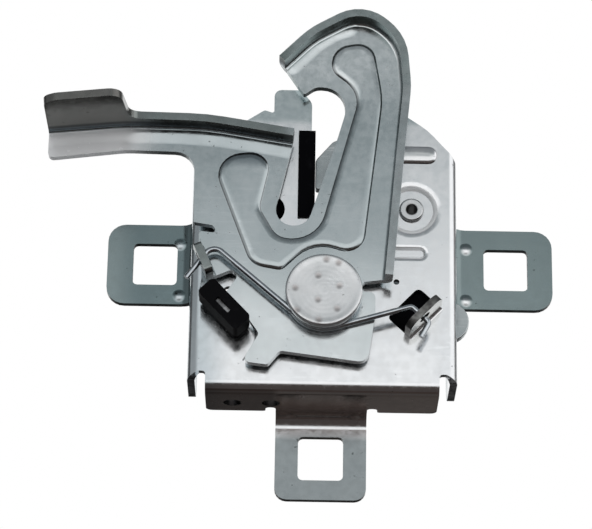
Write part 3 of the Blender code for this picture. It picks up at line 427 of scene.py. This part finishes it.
def housing_tones(n, place):
    """Painted shade makes the ears, the guide tab, the left side, the right lug, the bores and the underside darker
    than the plate, but leaves the lower halves of the ear dents light as a painted highlight; with a painted shadow of
    the buffer and a thin dark line below it.
    """
    x, y, z = n.parts(place)
    face_y, face_z = n.facing()[1:]
    # Painted shade on the ears, left out on the lower half of each dent as a painted highlight
    dents = spots(n, place, [(x0, y0, z0 - 0.5, radius * 0.9) for x0, y0, z0, radius in EAR_DENTS])
    back = n.math("MULTIPLY", smooth_step(n, y, -14 * MM, -6 * MM), n.inverse(dents))
    yield n.math("MULTIPLY", back, below(n, x, -42 * MM, -30 * MM)), LEFT_EAR
    yield n.math("MULTIPLY", back, smooth_step(n, x, 30 * MM, 42 * MM)), RIGHT_EAR
    # Painted shade on the faces turned down at the bottom, darker on the left
    under = n.math("MULTIPLY", below(n, z, -27.5 * MM, -26 * MM), below(n, face_z, -0.95, -0.6))
    yield under, UNDERSIDE
    yield n.math("MULTIPLY", under, below(n, x, -15 * MM, -12 * MM)), UNDERSIDE_LEFT
    # Painted shade in the drain bores
    bores = n.product(between(n, y, -17.5 * MM, -9 * MM, 0.3 * MM), between(n, x, -34 * MM, -13 * MM, 0.5 * MM),
                      below(n, z, -26.5 * MM, -26 * MM), below(n, face_y, -0.4, -0.2))
    yield bores, DRAIN_BORE
    # Painted shade on the foot ear below its bend
    yield n.math("MULTIPLY", back, below(n, z, -36 * MM, -32.5 * MM)), FOOT_EAR
    # Painted shade on the guide tab, the left side and the right lug
    yield between(n, z, 58.5 * MM, 90 * MM, 1.5 * MM), GUIDE_TAB
    yield between(n, x, -60 * MM, -31 * MM, 5 * MM), LEFT_SIDE
    lug = n.math("MULTIPLY", between(n, x, 20 * MM, 37 * MM, 0.5 * MM), below(n, y, -25.6 * MM, -25.1 * MM))
    yield lug, RIGHT_LUG
    # Painted shadow of the buffer on the plate, broken up by noise
    grime = n.ramp(n.noise(place, 700.0, 3.0, 0.6), [(0.35, 0.2), (0.60, 1.0)])
    yield n.math("MULTIPLY", spots(n, place, SCUFFS), grime), SCUFF
    # A thin dark line on the plate below the buffer
    yield seams(n, place, SCORE, SCORE_W), SCORED


def housing_pale(n, place):
    """Painted light: the walls of the dish and of the lower stiffening groove are made dull and white to lift their
    shade.
    """
    x, y, z = n.parts(place)
    wall = below(n, n.math("ABSOLUTE", n.facing()[1]), 0.96, 0.985)
    sunk = n.product(wall, smooth_step(n, y, -24.42 * MM, -24.2 * MM), below(n, y, -23.1 * MM, -22.8 * MM))
    groove = n.math("MULTIPLY", between(n, z, 12.6 * MM, 19.8 * MM, 0.4 * MM),
                    between(n, x, 10 * MM, 30 * MM, 0.5 * MM))
    dish = n.math("MULTIPLY", spots(n, place, [(DISH[0], -23.9, DISH[1], 11.0)]), 5.0, clamp=True)
    return n.math("MULTIPLY", sunk, n.math("MAXIMUM", groove, dish)), DULL_WALL


def lever_tones(n, place):
    """Painted shade: the lever is darker in its middle than at its tail and its hook, and its turned-up flange, the
    foot of the handle's flange and the hook flange's sides are darker too.
    """
    x, y, z = n.parts(place)
    flange, handle = below(n, y, *FLANGE_Y), below(n, x, -14 * MM, -9 * MM)
    yield between(n, z, 6 * MM, 66 * MM, 13 * MM), LEVER_MIDDLE
    yield n.math("MULTIPLY", flange, handle), HANDLE_FLANGE
    yield n.math("MULTIPLY", flange, below(n, x, -62 * MM, -52 * MM)), PAD_FLANGE
    foot = between(n, y, -32.4 * MM, -29.1 * MM, 0.7 * MM)
    yield n.product(foot, handle, smooth_step(n, z, 40 * MM, 44 * MM)), FLANGE_FOOT
    yield n.math("MULTIPLY", flange, smooth_step(n, z, 64 * MM, 70 * MM)), HOOK_FLANGE
    # Painted shade on the sides of the hook flange, by the way they face
    side = below(n, n.math("ABSOLUTE", n.facing()[1]), 0.4, 0.8)
    yield n.product(side, n.inverse(handle), smooth_step(n, z, 48 * MM, 56 * MM)), HOOK_FLANGE_SIDE


def lever_pale(n, place):
    """Painted light: under the finger pad the surface is made dull and light."""
    x, y, z = n.parts(place)
    where = n.product(smooth_step(n, y, *LEVER_Y_SOFT), between(n, x, -95 * MM, -55 * MM, 8 * MM),
                      between(n, z, 40 * MM, 60 * MM, 2 * MM))
    return where, DULL_PAD


def rivet_tones(n, place):
    """The punch marks in the head are darker."""
    yield spots(n, place, [(x, -35.0, z, 1.6) for x, z in HEAD_MARKS]), PUNCH_DIRT


def stop_tones(n, place):
    """Painted shade darkens the stop rivet's bore; the joint round its rim is dark."""
    yield ring(n, place, DISH, 0.7, 1.9, 0.25), STOP_BORE
    yield ring(n, place, DISH, 3.3, 3.9, 0.25), STOP_RIM


def merged_copy(node):
    """A clean copy of a CAD node's mesh, with its loose triangles joined and flat areas made one face."""
    bm = bmesh.new()
    bm.from_mesh(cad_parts[node].data)
    bmesh.ops.remove_doubles(bm, verts=bm.verts[:], dist=MERGE)
    bmesh.ops.dissolve_degenerate(bm, edges=bm.edges[:], dist=MERGE)
    bmesh.ops.dissolve_limit(bm, angle_limit=math.radians(0.4), verts=bm.verts[:], edges=bm.edges[:])
    return bm


def mark_pressing(bm, plate_y):
    """Marks the cut edges of a pressed sheet and the steep foot of each shape pressed into its front plane."""
    cut = bm.faces.layers.float.new("cut_edge")
    crease = bm.faces.layers.float.new("crease")
    bm.normal_update()
    for face in bm.faces:
        rims = [e.calc_length() for e in face.edges if e.is_manifold and e.calc_face_angle(0) > CUT_ANGLE]
        flat = face.normal.y < -0.99 and abs(face.calc_center_median().y - plate_y) < 2 * MM
        if len(rims) > 1 and not flat and face.calc_area() < sum(rims) / 2 * CUT_WIDTH:
            face[cut] = 1.0
    grow = [f for f in bm.faces if f.normal.y < -0.999
            and PRESSED[0] < abs(f.calc_center_median().y - plate_y) < PRESSED[1]]
    seen = set(grow)
    while grow:
        face = grow.pop()
        for edge in face.edges:
            for other in edge.link_faces:
                if other in seen or other.normal.y > -0.5 or other.normal.y < -0.9995:
                    continue
                seen.add(other)
                grow.append(other)
    for face in seen:
        if face.normal.y > -math.cos(CREASE_ANGLE):
            face[crease] = 1.0


def settle(name, bm, body, slot, finish, nodes=(), edge=0.0, sharp=SHARP, segments=2):
    """The finished piece made from a mesh: its edges are rolled, it rides on its body and stands for its nodes."""
    mesh = bpy.data.meshes.new(name)
    bm.to_mesh(mesh)
    bm.free()
    mesh.materials.clear()
    mesh.materials.append(finish)
    obj = link(bpy.data.objects.new(name, mesh))
    mesh.shade_smooth()
    if edge:
        mesh.materials.append(finish)
        roll = obj.modifiers.new("Rolled edges", "BEVEL")
        roll.width = edge
        roll.segments = segments
        roll.limit_method = "ANGLE"
        roll.angle_limit = sharp
        roll.use_clamp_overlap = True
        roll.miter_outer = "MITER_ARC"
        roll.material = 1
    even = obj.modifiers.new("Even shading", "WEIGHTED_NORMAL")
    even.mode = "FACE_AREA"
    even.weight = 100
    even.keep_sharp = True
    if not edge:
        mesh.set_sharp_from_angle(angle=sharp)
    done = bpy.data.meshes.new_from_object(obj.evaluated_get(bpy.context.evaluated_depsgraph_get()))
    obj.modifiers.clear()
    obj.data = done
    bpy.data.meshes.remove(mesh)
    done.name = name
    rolled = done.attributes.new("rolled_edge", "FLOAT", "FACE").data
    others = [done.attributes[key].data for key in ("cut_edge", "crease") if key in done.attributes]
    for face in done.polygons:
        if face.material_index:
            rolled[face.index].value = 1.0
            for marks in others:
                marks[face.index].value = 0.0
            face.material_index = 0
    while len(done.materials) > 1:
        done.materials.pop()
    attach(obj, body)
    if nodes:
        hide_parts(*nodes)
    return obj


def shape_tree(name, inputs):
    """An empty Geometry Nodes tree with a mesh or curve coming in, named values and a mesh going out."""
    tree = bpy.data.node_groups.new(name, "GeometryNodeTree")
    tree.interface.new_socket("Geometry", in_out="INPUT", socket_type="NodeSocketGeometry")
    for label, kind in inputs:
        tree.interface.new_socket(label, in_out="INPUT", socket_type=kind)
    tree.interface.new_socket("Geometry", in_out="OUTPUT", socket_type="NodeSocketGeometry")
    nodes = Nodes(tree)
    return tree, nodes, nodes.add("NodeGroupInput").outputs, nodes.add("NodeGroupOutput").inputs


def end_tree(n, shape, finish, out):
    """The last steps of every tree: smooth, made real and given its material."""
    smooth = n.add("GeometryNodeSetShadeSmooth", {"Geometry": shape}).outputs["Geometry"]
    real = n.add("GeometryNodeRealizeInstances", {"Geometry": smooth}).outputs["Geometry"]
    dressed = n.add("GeometryNodeSetMaterial", {"Geometry": real, "Material": finish})
    n.tree.links.new(dressed.outputs["Geometry"], out["Geometry"])


def wire_tree():
    """Sweeps a round wire along a curve and closes its cut ends."""
    tree, n, given, out = shape_tree("wire_along_path", [
        ("Radius", "NodeSocketFloat"), ("Sides", "NodeSocketInt"), ("Material", "NodeSocketMaterial"),
    ])
    section = n.add("GeometryNodeCurvePrimitiveCircle", {"Resolution": given["Sides"], "Radius": given["Radius"]})
    swept = n.add("GeometryNodeCurveToMesh", {"Curve": given["Geometry"], "Profile Curve": section.outputs["Curve"],
                                              "Fill Caps": True})
    end_tree(n, swept.outputs["Mesh"], given["Material"], out)
    return tree


def punch_tree():
    """Sinks a round punch mark into a face at each point of another mesh."""
    tree, n, given, out = shape_tree("punch_marks", [
        ("Marks", "NodeSocketObject"), ("Mark Radius", "NodeSocketFloat"), ("Mark Depth", "NodeSocketFloat"),
        ("Material", "NodeSocketMaterial"),
    ])
    marks = n.add("GeometryNodeObjectInfo", {"Object": given["Marks"]}).outputs["Geometry"]
    away = n.add("GeometryNodeProximity", {0: marks}, target_element="POINTS").outputs["Distance"]
    share = n.math("DIVIDE", away, given["Mark Radius"])
    bowl = n.add("ShaderNodeMapRange", {"Value": share, "From Min": 0.8, "From Max": 0.0},
                 interpolation_type="SMOOTHSTEP").outputs["Result"]
    lip = n.math("MULTIPLY", between(n, share, 0.8, 1.15, 0.22), -0.25)
    depth = n.math("MULTIPLY", n.math("ADD", bowl, lip), given["Mark Depth"])
    sink = n.add("ShaderNodeCombineXYZ", {"Y": depth}).outputs["Vector"]
    moved = n.add("GeometryNodeSetPosition", {"Geometry": given["Geometry"], "Offset": sink}).outputs["Geometry"]
    end_tree(n, moved, given["Material"], out)
    return tree


def grown(obj, tree, values):
    """The mesh that a Geometry Nodes tree makes from an object, as a bmesh. The object is used up."""
    modifier = obj.modifiers.new(tree.name, "NODES")
    modifier.node_group = tree
    for item in tree.interface.items_tree:
        if item.in_out == "INPUT" and item.name in values:
            modifier[item.identifier] = values[item.name]
    mesh = bpy.data.meshes.new_from_object(obj.evaluated_get(bpy.context.evaluated_depsgraph_get()))
    obj.modifiers.clear()
    bpy.data.objects.remove(obj, do_unlink=True)
    bm = bmesh.new()
    bm.from_mesh(mesh)
    bpy.data.meshes.remove(mesh)
    return bm


def rounded(corners):
    """Points along (x, z, radius) corners, with a small arc at each that has a radius."""
    points = []
    for i, (x, z, radius) in enumerate(corners):
        if not radius:
            points.append(Vector((x, z)))
            continue
        here = Vector((x, z))
        back = (Vector(corners[i - 1][:2]) - here).normalized()
        on = (Vector(corners[i + 1][:2]) - here).normalized()
        half = back.angle(on) / 2
        reach = radius / math.tan(half)
        middle = here + (back + on).normalized() * radius / math.sin(half)
        start, end = here + back * reach - middle, here + on * reach - middle
        sweep = start.angle_signed(end)
        steps = max(4, math.ceil(abs(sweep) / COIL_STEP))
        for k in range(steps + 1):
            turn = -sweep * k / steps
            c, s = math.cos(turn), math.sin(turn)
            points.append(middle + Vector((start.x * c - start.y * s, start.x * s + start.y * c)))
    return points


def leaves_coil(radius, x, z, way):
    """Angle on a coil at which a straight leg to (x, z) leaves it: way is +1 or -1."""
    return math.atan2(z, x) + way * math.acos(radius / math.hypot(x, z))


def coil_points(radius, start, sweep, y0, y1):
    steps = max(3, round(abs(sweep) / COIL_STEP))
    return [(radius * math.cos(start + sweep * k / steps), y0 + (y1 - y0) * k / steps,
             radius * math.sin(start + sweep * k / steps)) for k in range(steps + 1)]


def wire(name, points, diameter, finish):
    """A spring wound from round wire along points in millimetres."""
    curve = bpy.data.curves.new(name, "CURVE")
    curve.dimensions = "3D"
    spline = curve.splines.new("POLY")
    spline.points.add(len(points) - 1)
    for target, (x, y, z) in zip(spline.points, points):
        target.co = (x * MM, y * MM, z * MM, 1)
    path = link(bpy.data.objects.new(name + "_path", curve))
    bm = grown(path, WIRE_TREE, {"Radius": diameter / 2 * MM, "Sides": WIRE_SIDES, "Material": finish})
    settle(name + "_wire", bm, "latch_body", "spring_steel", finish, [name], sharp=math.radians(60))


def catch_spring(finish):
    """Left leg through the anchor's eye, two coils round the collar, right leg through the right lug's eye."""
    low, high = (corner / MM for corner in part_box("catch_spring"))
    size, radius = 1.7, 10.4
    front, rear, eye_y = low.y + size / 2, high.y - size / 2, -30.5
    tail = rounded([(-40.5, 4.1, 0), (-32.9, 14.7, 3.1), (-20.0, 3.8, 0)])[:-1]
    turn = math.radians(46.5)
    across = Vector((-math.sin(turn), math.cos(turn)))
    eye = Vector((28.72, -6.01))
    before, after = eye + across * 3.9, eye - across * 3.1
    enter = leaves_coil(radius, *tail[-1], 1)
    sweep = (leaves_coil(radius, *before, -1) - enter) % (2 * math.pi) + 2 * math.pi
    ring = coil_points(radius, enter, sweep, front, rear)
    leg = rounded([(ring[-1][0], ring[-1][2], 0), (*before, 1.6), (*after, 1.3), (after.x - 2.4, after.y - 4.6, 0)])
    points = [(x, front, z) for x, z in tail] + ring + [(x, eye_y, z) for x, z in leg[1:]]
    wire("catch_spring", points, size, finish)


def hook_spring(finish):
    """Front leg on the primary hook's shoulder, three coils behind it, rear leg on the stop rivet."""
    low, high = (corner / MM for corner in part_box("hook_spring"))
    size, radius, pitch = 1.8, 8.0, 2.0
    rear = high.y - size / 2
    front = rear - 2 * pitch
    shoulder = Vector((-15.0, 1.2))
    stop = Vector(DISH)
    rest = stop + Vector((-stop.y, stop.x)).normalized() * (3.0 + size / 2 + 0.3)
    start = leaves_coil(radius, *shoulder, -1)
    sweep = (leaves_coil(radius, *rest, 1) - start) % (2 * math.pi) - 4 * math.pi
    ring = coil_points(radius, start, sweep, front, rear)
    away = (rest - Vector((ring[-1][0], ring[-1][2]))).normalized() * 5.0
    grip = [(shoulder.x, low.y, shoulder.y), (shoulder.x, front - 0.9, shoulder.y),
            (shoulder.x + 0.5, front, shoulder.y + 0.25)]
    wire("hook_spring", grip + ring + [(rest.x + away.x, rear, rest.y + away.y)], size, finish)


def pivot_rivet(finish):
    """The pivot rivet: a spun head with punch marks, its shank and the peened end behind."""
    low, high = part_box("pivot_rivet")
    radius = (high.x - low.x) / 2
    gap, shank = 0.3 * MM, 5.0 * MM
    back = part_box("spring_collar")[0].y - gap
    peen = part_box("end_washer")[1].y + gap
    rim = 0.75 * MM
    profile = []
    for k in range(1, HEAD_RINGS + 1):
        r = radius * k / HEAD_RINGS
        over = max(0.0, r - radius + rim) / rim
        depth = 0.16 * MM * (1 - min(1.0, (r / radius / 0.9) ** 8)) + 0.003 * MM * math.sin(r / MM * 4.4)
        depth += rim * 0.9 * (1 - math.sqrt(max(0.0, 1 - over * over)))
        profile.append((r, low.y + max(0.0, depth)))
    profile += [(radius, back), (shank, back), (shank, peen), (7.0 * MM, peen), (7.3 * MM, peen + 0.5 * MM),
                (6.6 * MM, peen + 1.5 * MM), (4.6 * MM, high.y)]
    bm = bmesh.new()
    rings = [[bm.verts.new((r * math.cos(2 * math.pi * k / HEAD_SIDES), y, r * math.sin(2 * math.pi * k / HEAD_SIDES)))
              for k in range(HEAD_SIDES)] for r, y in profile]
    front = bm.verts.new((0, profile[0][1], 0))
    end = bm.verts.new((0, high.y, 0))
    for i in range(HEAD_SIDES):
        j = (i + 1) % HEAD_SIDES
        bm.faces.new((front, rings[0][i], rings[0][j]))
        bm.faces.new((end, rings[-1][j], rings[-1][i]))
        for a, b in zip(rings, rings[1:]):
            bm.faces.new((a[i], b[i], b[j], a[j]))
    bmesh.ops.recalc_face_normals(bm, faces=bm.faces[:])
    blank = bpy.data.meshes.new("pivot_rivet_blank")
    bm.to_mesh(blank)
    bm.free()
    marks = bpy.data.meshes.new("punch_points")
    marks.from_pydata([(x * MM, low.y + 0.15 * MM, z * MM) for x, z in HEAD_MARKS], [], [])
    points = link(bpy.data.objects.new("punch_points", marks))
    bm = grown(link(bpy.data.objects.new("pivot_rivet_blank", blank)), PUNCH_TREE, {
        "Marks": points, "Mark Radius": MARK_RADIUS, "Mark Depth": MARK_DEPTH, "Material": finish,
    })
    bpy.data.objects.remove(points, do_unlink=True)
    settle("pivot_rivet_turned", bm, "latch_body", "zinc_rivet", finish, ["pivot_rivet"], sharp=math.radians(50))


def camera():
    back = Vector((math.sin(CAMERA_TURN) * math.cos(CAMERA_RISE), -math.cos(CAMERA_TURN) * math.cos(CAMERA_RISE),
                   math.sin(CAMERA_RISE)))
    obj = link(bpy.data.objects.new("camera", bpy.data.cameras.new("camera")))
    turn = (-back).to_track_quat("-Z", "Y").to_matrix().to_4x4() @ Matrix.Rotation(CAMERA_ROLL, 4, "Z")
    obj.matrix_world = Matrix.Translation(CAMERA_TARGET + back * CAMERA_DISTANCE) @ turn
    data = obj.data
    data.sensor_fit = "HORIZONTAL"
    data.lens = data.sensor_width * (CAMERA_DISTANCE / PIXEL_SIZE) / IMAGE[0]
    data.shift_x = (IMAGE[0] / 2 - TARGET_PIXEL[0]) / IMAGE[0]
    data.shift_y = (TARGET_PIXEL[1] - IMAGE[1] / 2) / IMAGE[0]
    data.clip_start = 0.01
    bpy.context.scene.camera = obj


def softbox(name, place, size, power, aim=(0, -0.02, 0.02), colour=(1, 1, 1)):
    light = bpy.data.lights.new(name, "AREA")
    light.shape = "RECTANGLE"
    light.size, light.size_y = size
    light.energy = power
    light.color = colour
    obj = link(bpy.data.objects.new(name, light))
    obj.location = place
    obj.rotation_euler = (Vector(aim) - Vector(place)).to_track_quat("-Z", "Y").to_euler()
    obj.visible_camera = False
    obj.visible_glossy = False


def studio():
    """A white backdrop behind; in front a bright low band, grey above it and a dark bench below; dark flags aside."""
    world = bpy.data.worlds.new("studio")
    bpy.context.scene.world = world
    world.use_nodes = True
    n = Nodes(world.node_tree)
    world.node_tree.nodes.clear()
    direction = n.add("ShaderNodeTexCoord").outputs["Generated"]
    axes = n.add("ShaderNodeSeparateXYZ", {"Vector": direction}).outputs
    share = n.add("ShaderNodeMapRange", {"Value": axes["Z"], "From Min": -1.0, "From Max": 1.0}).outputs["Result"]
    tone = n.ramp(share, [
        (0.0, (0.050, 0.042, 0.040)), (0.36, (0.060, 0.050, 0.046)), (0.405, (0.50, 0.50, 0.50)),
        (0.44, (1.0, 1.0, 1.0)), (0.655, (1.0, 1.0, 1.0)), (0.677, (0.91, 0.92, 0.93)),
        (0.694, (0.62, 0.65, 0.66)), (0.712, (0.39, 0.42, 0.43)), (0.75, (0.25, 0.27, 0.28)),
        (1.0, (0.18, 0.19, 0.20)),
    ])
    right = n.math("MULTIPLY", smooth_step(n, axes["X"], 0.58, 0.74), smooth_step(n, axes["Z"], -0.12, 0.0))
    tone = n.mix(right, tone, (1.0, 1.0, 1.0, 1))
    left = smooth_step(n, n.math("MULTIPLY", axes["X"], -1.0), 0.40, 0.65)
    tone = n.mix(n.math("MULTIPLY", left, 0.62), tone, (0.08, 0.085, 0.09, 1))
    flags = smooth_step(n, axes["Y"], 0.02, 0.16)
    tone = n.mix(n.math("MULTIPLY", flags, 0.9), tone, (0.07, 0.07, 0.07, 1))
    seen = n.add("ShaderNodeLightPath").outputs
    backdrop = n.math("MULTIPLY", smooth_step(n, axes["Y"], 0.62, 0.74), smooth_step(n, axes["Z"], -0.08, 0.02))
    behind = n.math("MULTIPLY", backdrop, seen["Is Glossy Ray"])
    plain = n.math("MAXIMUM", n.math("MAXIMUM", seen["Is Camera Ray"], seen["Is Transmission Ray"]), behind)
    colour = n.mix(plain, tone, (1, 1, 1, 1))
    back = n.add("ShaderNodeBackground", {"Color": colour, "Strength": 1.0})
    n.add("ShaderNodeOutputWorld", {"Surface": back.outputs[0]})
    softbox("right_box", (0.85, -0.30, 0.20), (0.25, 0.6), 1.2)
    softbox("top_box", (-0.15, -0.35, 0.9), (0.9, 0.5), 2.0)


def floor(finish):
    size, drop = 3.0, -0.45
    mesh = bpy.data.meshes.new("floor")
    corners = [(-size, -size, drop), (size, -size, drop), (size, size, drop), (-size, size, drop)]
    mesh.from_pydata(corners, [], [(0, 1, 2, 3)])
    mesh.materials.append(finish)
    obj = link(bpy.data.objects.new("floor", mesh))
    obj.visible_glossy = False


def pale_floor():
    made, _, shader = new_material("pale_floor")
    shader.inputs["Roughness"].default_value = 0.9
    shader.inputs["Base Color"].default_value = (0.86, 0.86, 0.86, 1)
    return made


PLATING = plating_group()
WORN = worn_group()
SPOT = spot_group()
SEAM = seam_group()
WIRE_TREE = wire_tree()
PUNCH_TREE = punch_tree()

camera()
studio()
floor(pale_floor())

housing_finish = plated("housing_zinc", (0.96, 0.97, 0.98), (0.84, 0.86, 0.88), 0.20, 75.0, 0.5,
                        shade=housing_tones, dents=EAR_DENTS, pale=housing_pale, cut=0.9)
lever_finish = plated("lever_zinc", (0.82, 0.86, 0.87), (0.66, 0.71, 0.72), 0.20, 60.0, 0.35, shade=lever_tones,
                      cut=0.35, folds=[(FOLD, FOLD_W, 1.0), (HOOK_FOLD, HOOK_FOLD_W, HOOK_FOLD_SHARE)],
                      pale=lever_pale)
hook_finish = plated("hook_zinc", (0.50, 0.54, 0.55), (0.34, 0.38, 0.39), 0.30, 120.0, 0.5)
rivet_finish = plated("rivet_zinc", (0.92, 0.93, 0.94), (0.76, 0.78, 0.79), 0.34, 160.0, 0.6, shade=rivet_tones)
stop_finish = plated("stop_zinc", (0.88, 0.89, 0.90), (0.72, 0.74, 0.75), 0.30, 160.0, 0.3, shade=stop_tones)
wire_finish = plated("wire_zinc", (0.72, 0.76, 0.79), (0.46, 0.50, 0.54), 0.18, 200.0, 0.2, 0.2, 0.2)
rubber_finish = moulded("buffer_rubber", (0.004, 0.004, 0.005), 0.60, 0.06)
plastic_finish = moulded("guide_plastic", (0.002, 0.002, 0.003), 0.50, 0.03)

for node, body, slot, finish, edge, plane in (
    ("housing", "latch_body", "zinc_steel", housing_finish, SHEET_EDGE, PLATE_Y),
    ("safety_lever", "safety_catch", "zinc_steel", lever_finish, SHEET_EDGE, LEVER_Y),
    ("primary_hook", "hook", "zinc_steel", hook_finish, SHEET_EDGE, None),
    ("front_washer", "latch_body", "zinc_rivet", rivet_finish, 0.15 * MM, None),
    ("back_washer", "latch_body", "zinc_rivet", rivet_finish, 0.12 * MM, None),
    ("end_washer", "latch_body", "zinc_rivet", rivet_finish, 0.15 * MM, None),
    ("spring_collar", "latch_body", "zinc_rivet", rivet_finish, 0.2 * MM, None),
    ("hook_collar", "latch_body", "zinc_rivet", rivet_finish, 0.2 * MM, None),
    ("stop_rivet", "latch_body", "zinc_rivet", stop_finish, 0.18 * MM, None),
    ("stop_buffer", "latch_body", "black_rubber", rubber_finish, 0.3 * MM, None),
    ("striker_guide", "latch_body", "black_plastic", plastic_finish, 0.12 * MM, None),
    ("glide_pad", "latch_body", "black_plastic", plastic_finish, 0.12 * MM, None),
):
    copy = merged_copy(node)
    if plane:
        mark_pressing(copy, plane)
    settle(node + "_dressed", copy, body, slot, finish, [node], edge)

catch_spring(wire_finish)
hook_spring(wire_finish)
pivot_rivet(rivet_finish)

bpy.context.scene.view_settings.view_transform = "Standard"
